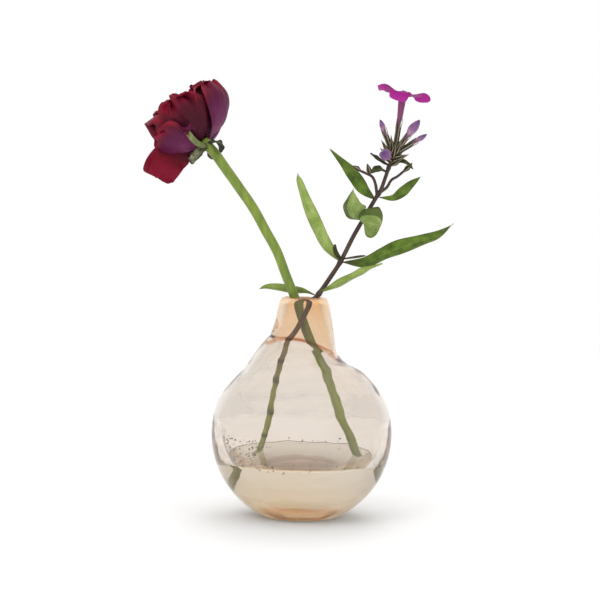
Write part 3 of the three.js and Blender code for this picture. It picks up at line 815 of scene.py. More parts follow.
def sheet(name, middle, thickness, columns=64, rows=44):
    """middle(side, along) gives the sheet's middle surface, side from -1 to 1, along from 0 to 1."""
    turn = np.linspace(0, 2 * math.pi, columns, endpoint=False)[None, :]
    along = (1 - np.cos(math.pi * np.arange(1, rows) / rows))[:, None] / 2
    along, turn = np.broadcast_arrays(along, turn)
    side = np.cos(turn)
    step = 1e-3
    widthways = (middle(np.minimum(side + step, 1), along)
                 - middle(np.maximum(side - step, -1), along))
    lengthways = (middle(side, np.minimum(along + step, 1))
                  - middle(side, np.maximum(along - step, 0)))
    outward = unit(np.cross(widthways, lengthways) + 1e-12)
    body = np.sqrt(np.maximum(0, 1 - (2 * along - 1) ** 6))
    lift = np.sign(np.sin(turn)) * np.abs(np.sin(turn)) ** 0.7
    rings = middle(side, along) + outward * (0.5 * thickness * body * lift)[..., None]
    ends = [middle(np.array(0.0), np.array(end)) for end in (0.0, 1.0)]
    upper = (np.sin(turn) > 1e-6).astype(float)
    return wrap(name, ends[0], rings, ends[1], {
        "across": (0, side, 0), "along": (0, along, 1), "upper": (0.5, upper, 0.5)})


# %% [markdown]
# ## The ranunculus head
# The head is a cup of petals that wrap round one another, seen here from its side and a little
# from behind. Each petal is a stretch of a turned wall round the head's own axis. One edge lies
# inside its neighbour and the other outside, as roof tiles overlap, and its free rim is ruffled.

# %% Where the head sits
HEAD_BASE = np.array([-49.6, 2, 183.6])
HEAD_AXIS = unit([-0.61, 0.22, 0.76])
HEAD_RIGHT = np.array([0.79, 0, 0.63])
head_across = unit(HEAD_RIGHT - HEAD_RIGHT.dot(HEAD_AXIS) * HEAD_AXIS)
HEAD_TURN = np.stack([head_across, np.cross(HEAD_AXIS, head_across), HEAD_AXIS])


def from_head(points):
    """Takes points round the head's own axis to their place in the frame."""
    return HEAD_BASE + points @ HEAD_TURN


def cup_petal(wall, angle, half, tuck, widest=0.62, fullness=2.4, ruffle=0.8, phase=0.0,
              placed=from_head):
    """A petal on a wall of [distance from the axis, height], facing angle, half degrees to a side."""
    curve = smooth_path(wall)

    def middle(side, along):
        at = curve(along)
        lean_over = side * spread(along, widest, fullness)
        rim = np.clip(along, 0, 1) ** 4 + 0.35 * np.abs(side) ** 3 * along
        wave = np.sin(8 * side + phase) + 0.6 * np.sin(17 * side + 2.3 * phase)
        crumple = np.sin(3.1 * side + 7 * along + phase) * np.sin(5.3 * along - 2.1 * side + 2 * phase)
        radius = at[..., 0] + tuck * lean_over * np.minimum(1, at[..., 0] / 12)
        radius = radius + ruffle * (rim * wave + 0.45 * along * crumple)
        height = at[..., 1] + 0.9 * ruffle * rim * np.sin(5 * side + 1.7 * phase)
        turn = math.radians(angle) + math.radians(half) * lean_over
        local = np.stack([radius * np.cos(turn), radius * np.sin(turn), height], -1)
        return placed(local)

    return middle


# %% [markdown]
# The outer petals are dusky purple on their backs, paler where they join the stem, with fine
# veins, and they redden towards the tip. Inside, all petals are dark crimson velvet with
# brighter rims. The stored marks drive these changes, and a little sheen gives the velvet.

# %% Petal finishes


def petal_veins(tree, fineness, across, along):
    """Fine lines that run from a petal's foot to its rim."""
    where = add(tree, "ShaderNodeCombineXYZ", {
        0: times(tree, across, fineness), 1: times(tree, along, 1.6)})
    lines = add(tree, "ShaderNodeTexNoise", {"Vector": where.outputs[0], "Scale": 1.0, "Detail": 4.0})
    return lines.outputs["Fac"]


def velvet_petal(name, back_stops, front_stops):
    material, tree, shader = finish(name)
    across, along, upper = readings(tree, "across", "along", "upper")
    where = place_on_object(tree)
    cloud = times(tree, math_node(tree, "SUBTRACT", grain(tree, where, 110), 0.5), 0.5)
    edge = times(tree, math_node(tree, "POWER", size_of(tree, across), 6), 0.25)
    level = math_node(tree, "ADD", plus(tree, along, cloud), edge, clamp=True)
    back = ramp(tree, level, back_stops)
    front = ramp(tree, level, front_stops)
    shade = blend_colours(tree, upper, front, back)
    veins = petal_veins(tree, 13, across, along)
    shade = tinted(tree, shade, "2a0616", spread_out(tree, veins, 0.5, 0.68), 0.5)
    shade = tinted(tree, shade, "8c3a62", spread_out(tree, veins, 0.42, 0.3), 0.14)
    fill(shader, {
        "Base Color": shade, "Roughness": 0.55, "Specular IOR Level": 0.2, "Sheen Weight": 0.12,
        "Sheen Roughness": 0.4, "Sheen Tint": colour("8a2246"),
        "Normal": bump(tree, veins, 0.0005, 0.55)})
    return material


PURPLE_PETAL = velvet_petal(
    "purple_petal",
    [(0.0, "84506e"), (0.12, "74305a"), (0.4, "62194a"), (0.66, "560c36"), (0.84, "620828"),
     (1.0, "8a0c2c")],
    [(0.0, "3c0418"), (0.6, "50061e"), (1.0, "8c0c2c")])
CRIMSON_PETAL = velvet_petal(
    "crimson_petal",
    [(0.0, "4a0a28"), (0.4, "46061f"), (0.75, "4e051c"), (0.93, "6c0722"), (1.0, "8c0c2c")],
    [(0.0, "24020a"), (0.6, "3c0310"), (0.92, "62051a"), (1.0, "860828")])
HANGING_CRIMSON = velvet_petal(
    "hanging_crimson",
    [(0.0, "3c030f"), (0.3, "5c051c"), (0.6, "780822"), (1.0, "840a2a")],
    [(0.0, "3c0414"), (0.5, "640620"), (1.0, "700828")])

# %% Outer and middle petals
# A wall is a list of [distance from the head's axis, height]. OUTER_PETALS gives each petal's
# direction and half width in degrees, and its wall.
DROOPING_WALL = [[1.6, 1.2], [9.8, 3.2], [18.4, 9.8], [21.6, 16], [18.8, 24.4]]
LOW_WALL = [[1.6, 1.2], [9.8, 3], [17.6, 8], [20.8, 12], [21, 15.6]]
REFLEXED_WALL = [[1.6, 1.2], [12.2, 3.6], [18.6, 8.4], [21.6, 12], [23.2, 16.4], [22.4, 22.6]]
MIDDLE_WALL = [[1.4, 3], [9, 5.4], [15.4, 11], [18, 16.4], [16.6, 25]]
OUTER_PETALS = [(218, 40, LOW_WALL), (337, 31, REFLEXED_WALL), (46, 38, DROOPING_WALL),
                (116, 36, DROOPING_WALL)]
MIDDLE_PETALS = 5
FIRST_MIDDLE_ANGLE = 268

for index, (angle, half, wall) in enumerate(OUTER_PETALS, 1):
    shape = cup_petal(wall, angle, half, tuck=0.8, phase=1.3 * index, ruffle=0.8)
    petal = sheet(f"outer_petal_{index}", shape, thickness=0.6, columns=96, rows=60)
    settle(petal, "ranunculus", "outer_petal", PURPLE_PETAL, f"ranunculus_outer_petal_{index}")

for index in range(MIDDLE_PETALS):
    angle = FIRST_MIDDLE_ANGLE + index * 360 / MIDDLE_PETALS
    shape = cup_petal(MIDDLE_WALL, angle, half=44, tuck=0.9, phase=2.1 * index, ruffle=2.3)
    petal = sheet(f"middle_petal_{index + 1}", shape, thickness=0.55, columns=96, rows=60)
    settle(petal, "ranunculus", "inner_petal", CRIMSON_PETAL, f"ranunculus_middle_petal_{index + 1}")
print("petals wrapped round the head:", len(OUTER_PETALS) + MIDDLE_PETALS)

# %% [markdown]
# Inside the cup a ranunculus packs dozens of ever smaller petals. They follow one rule: each is
# turned by the golden angle from the last, and is a little smaller and higher. Geometry Nodes
# turns that rule into petals, with small random tilts so that the rim looks alive.

# %% Inner petals
INNER_PETALS = 34
GOLDEN_ANGLE = math.radians(137.5)
INNER_WALL = [[2.2, 0], [8.6, 2.2], [14, 8], [15.6, 13.6], [13.8, 21]]


def whorl_recipe():
    tree, enter, leave, keys = recipe("whorl", [
        ("Geometry", "NodeSocketGeometry"), ("Petals", "NodeSocketInt"),
        ("Turn", "NodeSocketFloat"), ("Outer Size", "NodeSocketFloat"),
        ("Inner Size", "NodeSocketFloat"), ("Rise", "NodeSocketFloat"),
        ("Wobble", "NodeSocketFloat"), ("Seed", "NodeSocketInt"), ("Finish", "NodeSocketMaterial")])
    count = enter.outputs["Petals"]
    dots = add(tree, "GeometryNodePoints", {"Count": count})
    number = add(tree, "GeometryNodeInputIndex").outputs[0]
    share = math_node(tree, "DIVIDE", number, count)
    lift = times(tree, share, enter.outputs["Rise"])
    offset = add(tree, "ShaderNodeCombineXYZ", {2: lift})
    raised = add(tree, "GeometryNodeSetPosition", {
        "Geometry": dots.outputs[0], "Offset": offset.outputs[0]})
    wobble = enter.outputs["Wobble"]
    least = times(tree, wobble, -1.0)
    tilts = [add(tree, "FunctionNodeRandomValue", {
        2: least, 3: wobble, "Seed": plus(tree, enter.outputs["Seed"], extra)}).outputs[1]
        for extra in (0, 1, 2)]
    around = times(tree, number, enter.outputs["Turn"])
    turn = add(tree, "ShaderNodeCombineXYZ", {0: tilts[0], 1: tilts[1], 2: around})
    difference = math_node(tree, "SUBTRACT", enter.outputs["Inner Size"], enter.outputs["Outer Size"])
    even = plus(tree, enter.outputs["Outer Size"], times(tree, share, difference))
    size = plus(tree, even, times(tree, tilts[2], 0.4))
    put = add(tree, "GeometryNodeInstanceOnPoints", {
        "Points": raised.outputs[0], "Instance": enter.outputs["Geometry"],
        "Rotation": turn.outputs[0], "Scale": size})
    real = add(tree, "GeometryNodeRealizeInstances", {0: put.outputs[0]})
    hand_over(tree, enter, leave, real.outputs[0])
    return tree, keys


def stand_on_head(piece, height):
    """Moves a mesh made round its own axis to a height inside the head."""
    turn = Matrix(HEAD_TURN.T.tolist()).to_4x4()
    base = Vector((HEAD_BASE + HEAD_AXIS * height) * MM)
    piece.data.transform(Matrix.Translation(base) @ turn)
    piece.data.update()


WHORL_TREE, WHORL_KEYS = whorl_recipe()
shape = cup_petal(INNER_WALL, angle=0, half=50, tuck=0.6, ruffle=1.5, placed=lambda points: points)
pattern = sheet("inner_pattern", shape, thickness=0.5, columns=48, rows=30)
inner_petals = grow("inner_petals", pattern, WHORL_TREE, WHORL_KEYS, {
    "Petals": INNER_PETALS, "Turn": GOLDEN_ANGLE, "Outer Size": 1.0, "Inner Size": 0.24,
    "Rise": 0.014, "Wobble": 0.11, "Seed": 5, "Finish": CRIMSON_PETAL})
stand_on_head(inner_petals, 5.5)
settle(inner_petals, "ranunculus", "inner_petal", CRIMSON_PETAL,
       "ranunculus_inner_cup_1", "ranunculus_inner_cup_2", "ranunculus_heart")
print("inner petals:", INNER_PETALS, "with", len(inner_petals.data.polygons), "faces")

# %% [markdown]
# One older petal has dropped and hangs under the head, wrinkled, with a wavy lower edge. Below
# it sit the knob that carries the petals, three dry curled sepals, and the stub of a side shoot
# that ends in a wisp of dried petals. Free sheets like these follow a spine instead of a wall.

# %% Helper: a sheet along a spine


def blade(spine, face, half_width, widest=0.45, fullness=1.0, cup=0.2, fold=0.0, ruffle=0.0,
          waves=3.0, phase=0.0, edge_low=0.0, ragged=0.0, placed=lambda points: points):
    """A leaf or petal along a spine. face is the way its upper side looks; cup lifts both edges
    in a curve and fold in a V; ruffle waves the margin and ragged tears the far end, both in
    millimetres."""
    curve = smooth_path(spine)
    upper = unit(face)

    def middle(side, along):
        centre = curve(along)
        ahead = unit(curve(np.minimum(along + 1e-3, 1)) - curve(np.maximum(along - 1e-3, 0)))
        across = unit(np.cross(ahead, np.broadcast_to(upper, ahead.shape)))
        outward = np.cross(across, ahead)
        half = half_width * spread(np.clip(along, 1e-9, 1 - 1e-9), widest, fullness)
        share = np.abs(side)
        lift = half * (cup * side ** 2 + fold * share)
        margin = share ** 3 + np.clip(along, 0, 1) ** 8 * 0.6
        lift = lift + ruffle * margin * np.sin(2 * math.pi * waves * along + phase + 1.3 * side)
        teeth = np.sin(8 * side + phase) + 0.6 * np.sin(21 * side)
        droop = edge_low * half * side * along + ragged * np.clip(along, 0, 1) ** 6 * teeth
        points = centre + across * (half * side)[..., None]
        return placed(points + outward * lift[..., None] + ahead * droop[..., None])

    return middle


# %% Knob, hanging petal and sepals
HANGING_PETAL = dict(
    spine=[[-52, 5.6, 183], [-61, 6.4, 182], [-67.4, 5.8, 178], [-71.8, 3.8, 172.4], [-74.4, 2.4, 167.2]],
    face=[0.35, -0.9, 0.25], half_width=9.0, widest=0.75, fullness=3.6, cup=0.05, ruffle=1.1,
    waves=2.2, phase=0.6, ragged=0.6)
SEPALS = [
    dict(spine=[[-48.4, 0.4, 184.2], [-45, -1.8, 185], [-43.3, -2.4, 183], [-42.8, -2.4, 179.8]],
         face=[0.6, -0.4, 0.7], half_width=2.6),
    dict(spine=[[-50.2, 1.2, 182.6], [-53.2, -1, 179.4], [-55.4, -1.6, 176.6], [-57.6, -1.4, 174.4]],
         face=[-0.5, -0.7, 0.4], half_width=3.4),
    dict(spine=[[-49.2, 3.4, 183], [-47.4, 8.4, 180.4], [-48, 11.6, 177]], face=[0, 0.4, 0.9],
         half_width=2.7)]
SIDE_SHOOT = [[-49.6, 0.8, 182.4], [-54.6, -8.4, 184.6], [-58.8, -14.2, 189.2]]


def turned_ring(outline, columns=32, wave=None):
    """Rings round +Z from [radius, height] pairs, with a wave added to the radius if given."""
    outline = np.array(outline, float)
    turn = np.linspace(0, 2 * math.pi, columns, endpoint=False)[None, :]
    radius = outline[:, :1] * (1 + (wave(turn, outline[:, 1:]) if wave else 0 * turn))
    height = np.broadcast_to(outline[:, 1:], radius.shape)
    return np.stack([radius * np.cos(turn), radius * np.sin(turn), height], -1)


def make_knob():
    profile = smooth_path([[1.6, 0.05], [2.5, 0.5], [3.0, 1.6], [2.7, 2.8], [1.2, 3.3]])
    outline = profile(np.linspace(0, 1, 24))
    rings = turned_ring(outline, 40, lambda turn, height: 0.05 * np.sin(6 * turn))
    return wrap("head_knob", from_head(np.zeros(3)), from_head(rings), from_head(np.array([0, 0, 3.4])))


def dry_sepal(name, stops):
    material, tree, shader = finish(name)
    across, along = readings(tree, "across", "along")
    mottle = grain(tree, place_on_object(tree), 340, 4)
    shade = ramp(tree, mottle, stops)
    rim = spread_out(tree, size_of(tree, across), 0.72, 0.96)
    tip = spread_out(tree, along, 0.8, 1.0)
    dark = math_node(tree, "MAXIMUM", rim, tip)
    shade = blend_colours(tree, dark, shade, colour("1d1712"))
    fill(shader, {"Base Color": shade, "Roughness": 0.7, "Normal": bump(tree, mottle, 0.0006, 0.7)})
    return material


settle(make_knob(), "ranunculus", "ranunculus_stem", RANUNCULUS_GREEN, "ranunculus_receptacle")
hanging = sheet("hanging_petal", blade(**HANGING_PETAL), thickness=0.5, columns=96, rows=64)
settle(hanging, "ranunculus", "outer_petal", HANGING_CRIMSON, "ranunculus_hanging_petal")
DARK_SEPAL = dry_sepal("dark_sepal", [(0.35, "1e1f17"), (0.5, "383b2b"), (0.7, "666349")])
PALE_SEPAL = dry_sepal("pale_sepal", [(0.35, "5c6046"), (0.5, "8a8d6c"), (0.7, "b8b294")])
for index, (place, skin) in enumerate(zip(SEPALS, (DARK_SEPAL, PALE_SEPAL, DARK_SEPAL)), 1):
    shape = blade(cup=0.45, fullness=2.0, ruffle=0.35, phase=index, **place)
    made = sheet(f"sepal_{index}", shape, thickness=0.45)
    settle(made, "ranunculus", "sepal", skin, f"ranunculus_sepal_{index}")
shoot = stalk("side_shoot", SIDE_SHOOT, taper(1.35, 1.6), SHOOT_GREEN, steps=30, rib_bottom=0.97)
settle(shoot, "ranunculus", "ranunculus_stem", SHOOT_GREEN, "ranunculus_side_shoot")
print("trim: a knob, a hanging petal,", len(SEPALS), "sepals and a side shoot")

# %% The wisp at the end of the side shoot
WISP_STRIPS = 14


def make_wisp():
    shape = blade([[0, 0, 0], [1.2, 0, 1.4], [2.6, 0, 1.8], [3.6, 0, 0.8]], face=[0, 0, 1],
                  half_width=0.55, cup=0.5, fullness=1.6)
    strip = sheet("wisp_pattern", shape, thickness=0.25, columns=16, rows=12)
    wisp = grow("shoot_wisp", strip, WHORL_TREE, WHORL_KEYS, {
        "Petals": WISP_STRIPS, "Turn": GOLDEN_ANGLE, "Outer Size": 1.0, "Inner Size": 0.6,
        "Rise": 0.0012, "Wobble": 0.9, "Seed": 11, "Finish": PURPLE_PETAL})
    tip = np.array(SIDE_SHOOT[-1])
    turn = Vector((0, 0, 1)).rotation_difference(Vector(tip - np.array(SIDE_SHOOT[-2])))
    wisp.data.transform(Matrix.Translation(Vector(tip * MM)) @ turn.to_matrix().to_4x4())
    return wisp


settle(make_wisp(), "ranunculus", "outer_petal", PURPLE_PETAL)
print("wisp strips:", WISP_STRIPS)

# %% [markdown]
# ## Phlox leaves
# The leaves are long and pointed, dark green with a pale middle rib above and much paler
# beneath. Two young ones near the head are folded over along one side; past the fold their
# underside takes the darker upper colour, partly for the turned-over half and partly as painted
# fold shade. Colour, ribs and side veins all read the marks stored on the sheet, so one finish
# serves both sides of a leaf.

# %% Leaf finish


def phlox_leaf(name, top_dark, top_light, under_dark, under_light, edge, fold=None):
    material, tree, shader = finish(name)
    across, along, upper = readings(tree, "across", "along", "upper")
    where = place_on_object(tree)
    distance = size_of(tree, across)
    slanted = math_node(tree, "SUBTRACT", times(tree, along, 13.0),
                        times(tree, distance, 1.6))
    wander = times(tree, grain(tree, where, 160), 0.9)
    phase = times(tree, plus(tree, slanted, wander), 2 * math.pi)
    veins = spread_out(tree, math_node(tree, "SINE", phase), 0.75, 1.0)
    rib = spread_out(tree, distance, 0.1, 0.03)
    mottle = grain(tree, where, 240, 5)
    top = ramp(tree, mottle, [(0.3, top_dark), (0.7, top_light)])
    under = ramp(tree, mottle, [(0.3, under_dark), (0.7, under_light)])
    shade = blend_colours(tree, upper, under, top)
    if fold:
        # Past the fold line the darker upper colour is laid on: the turned-over half, and painted fold
        # shade.
        turned_over_and_fold_shade = times(tree, spread_out(tree, across, fold, fold + 0.08), 0.85)
        shade = blend_colours(tree, turned_over_and_fold_shade, shade, top)
    lines = math_node(tree, "MAXIMUM", rib, times(tree, veins, 0.3))
    shade = tinted(tree, shade, "98a862", lines, 0.3)
    shade = tinted(tree, shade, edge, spread_out(tree, distance, 0.86, 1.0), 0.65)
    shade = tinted(tree, shade, "4a3a2c", spread_out(tree, along, 0.16, 0.0), 0.7)
    relief = plus(tree, times(tree, lines, -0.8), mottle)
    fill(shader, {"Base Color": shade, "Roughness": 0.5, "Specular IOR Level": 0.25,
                  "Normal": bump(tree, relief, 0.0006, 0.6)})
    return material


LEAF = phlox_leaf("phlox_leaf", "3a5014", "648026", "7c9440", "a0b464", "46321a")
YOUNG_LEAF = phlox_leaf("young_leaf", "333f16", "4c5c24", "6e8640", "93a65e", "33241a", fold=0.42)
BRACT_LEAF = phlox_leaf("bract_leaf", "272514", "444622", "484a2a", "6c6e40", "221512")

# %% The leaves
LEAVES = {
    "low_left": dict(
        spine=[[4.4, 0.9, 111.2], [0, 6.8, 111.4], [-6, 10.4, 111.6], [-13, 11.5, 112.7], [-19, 11, 113.2],
               [-22.8, 10.4, 112.4]],
        face=[0, 0.75, 0.66], half_width=2.7, cup=0.25, fold=0.2),
    "low_right": dict(
        spine=[[8.6, -3.2, 111.4], [14.5, -6, 114.4], [24, -8, 119.6], [31, -9, 123.6], [38.2, -9, 126.8]],
        face=[-0.3, 0.6, 0.74], half_width=3.1, cup=0.2, fold=0.15, ruffle=0.3),
    "long_left": dict(
        spine=[[15.4, -1, 128.2], [10.4, -1.4, 135], [5.4, -2.4, 144], [0.3, -3.2, 155.5], [-3.5, -4, 166],
               [-4.4, -4, 170.4]],
        face=[0.35, 0.9, 0.2], half_width=3.4, widest=0.38, cup=0.2, fold=0.25, ruffle=0.3),
    "long_right": dict(
        spine=[[20.6, -1.2, 125.4], [29.7, -2.6, 126.6], [39, -4, 131], [47, -4, 134.4], [57.3, -4, 138],
               [65.2, -3, 141], [73.2, -2, 147]],
        face=[-0.2, -0.75, 0.62], half_width=4.5, cup=0.25, ruffle=0.35, waves=3),
    "folded_left": dict(
        spine=[[26.4, -1.6, 148.4], [24.2, -4.2, 150], [22.4, -6.4, 154], [22.4, -7.2, 158.6],
               [23.2, -7.4, 163.4]],
        face=[0.45, 0.85, 0.1], half_width=6.4, widest=0.36, cup=0.1, fold=0.4, fullness=0.42,
        ruffle=0.3),
    "folded_right": dict(
        spine=[[24.4, -3, 148.6], [28.4, -5.2, 147.4], [32.8, -7.6, 146.4], [37.2, -9, 146]],
        face=[0.3, 0.9, 0.25], half_width=8.2, cup=0.1, fold=0.15, fullness=0.62, widest=0.66,
        ruffle=0.35, edge_low=0.25),
    "top_left": dict(
        spine=[[31.8, -0.6, 159.6], [28.4, -1, 162.9], [24.1, 0, 168.7], [19.3, 1, 174.5], [11.2, 1.5, 183]],
        face=[-0.1, -0.9, 0.4], half_width=3.3, cup=0.3, ruffle=0.3),
    "top_right": dict(
        spine=[[37.2, -1, 158.4], [42.8, -1.2, 159], [47.4, -1.6, 161.8], [51.2, -2, 165.4],
               [56.6, -2, 170]],
        face=[0.1, -0.9, 0.4], half_width=2.5, widest=0.55, fullness=0.45, cup=0.3, ruffle=0.2)}
AXIL_SHOOTS = {
    "left": dict(spine=[[16, -3.2, 129.3], [15.2, -4, 132.4], [14.7, -4.4, 135.8]],
                 face=[-0.5, -0.8, 0.1], half_width=1.3, cup=0.4),
    "right": dict(spine=[[19.8, -3.4, 127.9], [25, -6.4, 129.4], [30, -7, 130.4]],
                  face=[0, -0.5, 0.86], half_width=1.0, cup=0.4)}
BRACTS = {
    "inner": dict(spine=[[38.6, -1.6, 172], [35.6, -5, 173], [31.7, -6.8, 171.2]],
                  face=[0, -0.7, 0.7], half_width=2.4),
    "left": dict(spine=[[39.6, -0.8, 175.4], [35.8, -2.6, 177.6], [31.3, -3, 181]],
                 face=[0.2, -0.6, 0.75], half_width=1.6),
    "right": dict(spine=[[43, -1, 175], [47.8, -2.6, 177], [52.8, -3, 173.4]],
                  face=[0, -0.6, 0.8], half_width=1.5)}
LEAF_FULLNESS = 0.55
YOUNG = ("folded_left", "folded_right")
UNDERSIDE_SHOWS = ("low_left", "low_right", "long_left", "folded_left", "folded_right")
PHLOX_LINE = smooth_path(phlox_points)(np.linspace(0, 1, 600))


def from_stem(points, share=0.85):
    """Draws the first point in towards the stem, so that no gap shows where a piece grows."""
    points = np.array(points, float)
    nearest = PHLOX_LINE[np.argmin(np.linalg.norm(PHLOX_LINE - points[0], axis=1))]
    points[0] += (nearest - points[0]) * share
    return points


def grow_leaf(name, shape, thickness, columns, rows, slot, skin):
    shape = {**shape, "spine": from_stem(shape["spine"])}
    made = sheet(name, blade(**shape), thickness, columns, rows)
    settle(made, "phlox", slot, skin, f"phlox_{name}")


for name, shape in LEAVES.items():
    grow_leaf(f"leaf_{name}", {"fullness": LEAF_FULLNESS, **shape}, 0.45, 56, 72,
              "leaf_underside" if name in UNDERSIDE_SHOWS else "leaf",
              YOUNG_LEAF if name in YOUNG else LEAF)
for name, shape in AXIL_SHOOTS.items():
    grow_leaf(f"axil_shoot_{name}", shape, 0.6, 28, 32, "leaf", BRACT_LEAF)
for name, shape in BRACTS.items():
    grow_leaf(f"bract_{name}", {"fullness": 0.8, "cup": 0.35, "ruffle": 0.2, **shape}, 0.45, 32, 36,
              "bract", BRACT_LEAF)
print("leaves:", len(LEAVES), "axil shoots:", len(AXIL_SHOOTS), "bracts:", len(BRACTS))

# %% [markdown]
# ## The phlox head
# Each flower or bud stands in a calyx: a narrow dark sleeve with five pale ribs that end in five
# sharp teeth. The buds are furled like umbrellas, so their sides carry a slow twist. One open
# flower tops the sprig: a slender tube that opens into five flat magenta lobes.

# %% Finishes for calyx, bud and flower


def striped_calyx():
    material, tree, shader = finish("striped_calyx")
    around, along = readings(tree, "around", "along")
    stripes = math_node(tree, "COSINE", times(tree, around, 10 * math.pi))
    mottle = grain(tree, place_on_object(tree), 500, 3)
    shade = ramp(tree, mottle, [(0.35, "1f1216"), (0.65, "3a2a24")])
    shade = tinted(tree, shade, "aca678", spread_out(tree, stripes, 0.35, 0.95), 0.8)
    shade = tinted(tree, shade, "3a2330", spread_out(tree, along, 0.75, 1.0), 0.75)
    fill(shader, {"Base Color": shade, "Roughness": 0.6, "Normal": bump(tree, stripes, 0.0002, 0.6)})
    return material


def violet_bud():
    material, tree, shader = finish("violet_bud")
    around, along = readings(tree, "around", "along")
    shade = ramp(tree, along, [(0.0, "864670"), (0.42, "ac84a0"), (0.6, "845688"), (0.85, "68407e"),
                               (1.0, "502a66")])
    twist = plus(tree, times(tree, around, 5.0),
                      times(tree, along, 3.0))
    seam = math_node(tree, "SINE", times(tree, twist, 2 * math.pi))
    shade = tinted(tree, shade, "642a5c", spread_out(tree, seam, 0.6, 1.0), 0.4)
    fleck = spread_out(tree, grain(tree, place_on_object(tree), 600), 0.6, 0.8)
    shade = tinted(tree, shade, "c6aac8", fleck, 0.3)
    fill(shader, {"Base Color": shade, "Roughness": 0.5, "Sheen Weight": 0.2,
                  "Normal": bump(tree, seam, 0.0002, 0.5)})
    return material


def magenta_petal():
    material, tree, shader = finish("magenta_petal")
    across, along, upper = readings(tree, "across", "along", "upper")
    back = ramp(tree, along, [(0.0, "6a1a52"), (0.35, "7e0c62"), (0.8, "900e74"), (1.0, "b458a2")])
    front = ramp(tree, along, [(0.0, "4a063c"), (0.2, "780a5e"), (0.7, "960e7a"), (1.0, "ac2c94")])
    shade = blend_colours(tree, upper, back, front)
    veins = petal_veins(tree, 9, across, along)
    shade = tinted(tree, shade, "620a52", spread_out(tree, veins, 0.5, 0.7), 0.4)
    fill(shader, {"Base Color": shade, "Roughness": 0.55, "Specular IOR Level": 0.2,
                  "Normal": bump(tree, veins, 0.0003, 0.5)})
    return material


def flower_tube_skin():
    material, tree, shader = finish("flower_tube")
    around, along = readings(tree, "around", "along")
    shade = ramp(tree, along, [(0.0, "6c3a4c"), (0.5, "7c3660"), (0.85, "883070"), (1.0, "982880")])
    lines = math_node(tree, "SINE", times(tree, around, 20 * math.pi))
    shade = tinted(tree, shade, "b07894", spread_out(tree, lines, 0.2, 1.0), 0.25)
    fine = bump(tree, grain(tree, place_on_object(tree), 700), 0.0003, 0.4)
    fill(shader, {"Base Color": shade, "Roughness": 0.5, "Normal": fine})
    return material


STRIPED_CALYX = striped_calyx()
VIOLET_BUD = violet_bud()
MAGENTA_PETAL = magenta_petal()
FLOWER_TUBE = flower_tube_skin()

# %% Helper: a turned piece that points from one place to another


def pointing(base, tip):
    """A placement that stands pieces made along +Z on base, pointing at tip."""
    base = np.array(base, float)
    turn = Vector((0, 0, 1)).rotation_difference(Vector(np.array(tip, float) - base)).to_matrix()
    matrix = np.array(turn)
    return lambda points: base + np.asarray(points, float) @ matrix.T


def turned_piece(name, base, tip, outline, start_height, end_height, columns=40, wave=None, shear=None):
    """outline is rows of [radius, height, along mark]; shear may change heights round the rim."""
    outline = np.array(outline, float)
    rings = turned_ring(outline[:, :2], columns, wave)
    if shear is not None:
        turn = np.linspace(0, 2 * math.pi, columns, endpoint=False)[None, :]
        rings[..., 2] = shear(turn, rings[..., 2])
    placed = pointing(base, tip)
    around = np.linspace(0, 1, columns, endpoint=False)[None, :] + 0 * outline[:, :1]
    marks = {"around": (0, around, 0),
             "along": (outline[0, 2], outline[:, 2:3] + 0 * around, outline[-1, 2])}
    return wrap(name, placed([0, 0, start_height]), placed(rings), placed([0, 0, end_height]), marks)


# %% Calyces and buds
CALYX_RADIUS = 1.35
CALYX_WALL = 0.25
CALYX_TEETH = 5
FLOWER_CALYX = ([43.8, 0.1, 182.4], [45.3, 0.1, 196])
BUD_CALYCES = [
    ([45.4, -1.8, 181.9], [49.2, -3.4, 189.4], 11, 2.2),
    ([41.2, -1.4, 181], [38.2, -2.2, 191.4], 7, 1.3),
    ([45.8, 0.6, 180], [53, 1.6, 187], 8, 1.3),
    ([41.2, -2, 177.8], [39.4, -6.8, 179.4], 6.4, 2.9)]
CLOSED_CALYCES = [
    ([40, 1.8, 179.2], [36.8, 4.2, 188]), ([43.8, -2.6, 177.4], [50.2, -4.6, 180.6]),
    ([42.6, -1.6, 179.6], [41.2, -5, 190]), ([44.2, 1.4, 180.2], [48.4, 3.6, 190.4]),
    ([44.6, -2.4, 179.4], [47, -6.4, 187.4]), ([41.8, -1.8, 178.2], [37.6, -5.2, 186.4]),
    ([43.2, -2, 178.4], [43.8, -6.8, 187]), ([41, 1.2, 176.6], [36.4, 2.6, 184]),
    ([43, -1.4, 174.4], [49, -3.8, 180]), ([42.6, 1.4, 175], [48.2, 3.4, 183.2])]
CALYCES_IN_CAD = 7


def length_between(first, second):
    return float(np.linalg.norm(np.array(second) - np.array(first)))


def ribs(turn, height):
    return 0.07 * np.cos(CALYX_TEETH * turn)


def make_calyx(name, base, mouth, closed):
    length = length_between(base, mouth)
    share = np.linspace(0.0, 1.0, 26)[1:]
    if closed:
        radius = CALYX_RADIUS * np.interp(share, [0, 0.3, 0.62, 0.85, 1], [0.4, 1.15, 0.7, 0.26, 0.06])
        outline = np.stack([radius, length * share, share], 1)
        return turned_piece(name, base, mouth, outline, 0, length * 1.01, wave=ribs)
    outer = CALYX_RADIUS * np.interp(share, [0, 0.3, 0.8, 1], [0.42, 0.98, 1, 1.12])
    inner_share = np.linspace(1.0, 0.5, 14)
    inner = CALYX_RADIUS * np.interp(inner_share, [0.5, 0.8, 1], [0.8, 0.86, 1.06]) - 0.6 * CALYX_WALL
    radius = np.concatenate([outer, inner])
    along = np.concatenate([share, inner_share])

    def teeth(turn, height):
        tooth = (0.5 + 0.5 * np.cos(CALYX_TEETH * turn)) ** 1.6
        upper = np.clip((height / length - 0.6) / 0.4, 0, 1) ** 1.5
        return height + length * upper * (0.38 * tooth - 0.2)

    outline = np.stack([radius, length * along, along], 1)
    return turned_piece(name, base, mouth, outline, 0, length * 0.5, wave=ribs, shear=teeth)


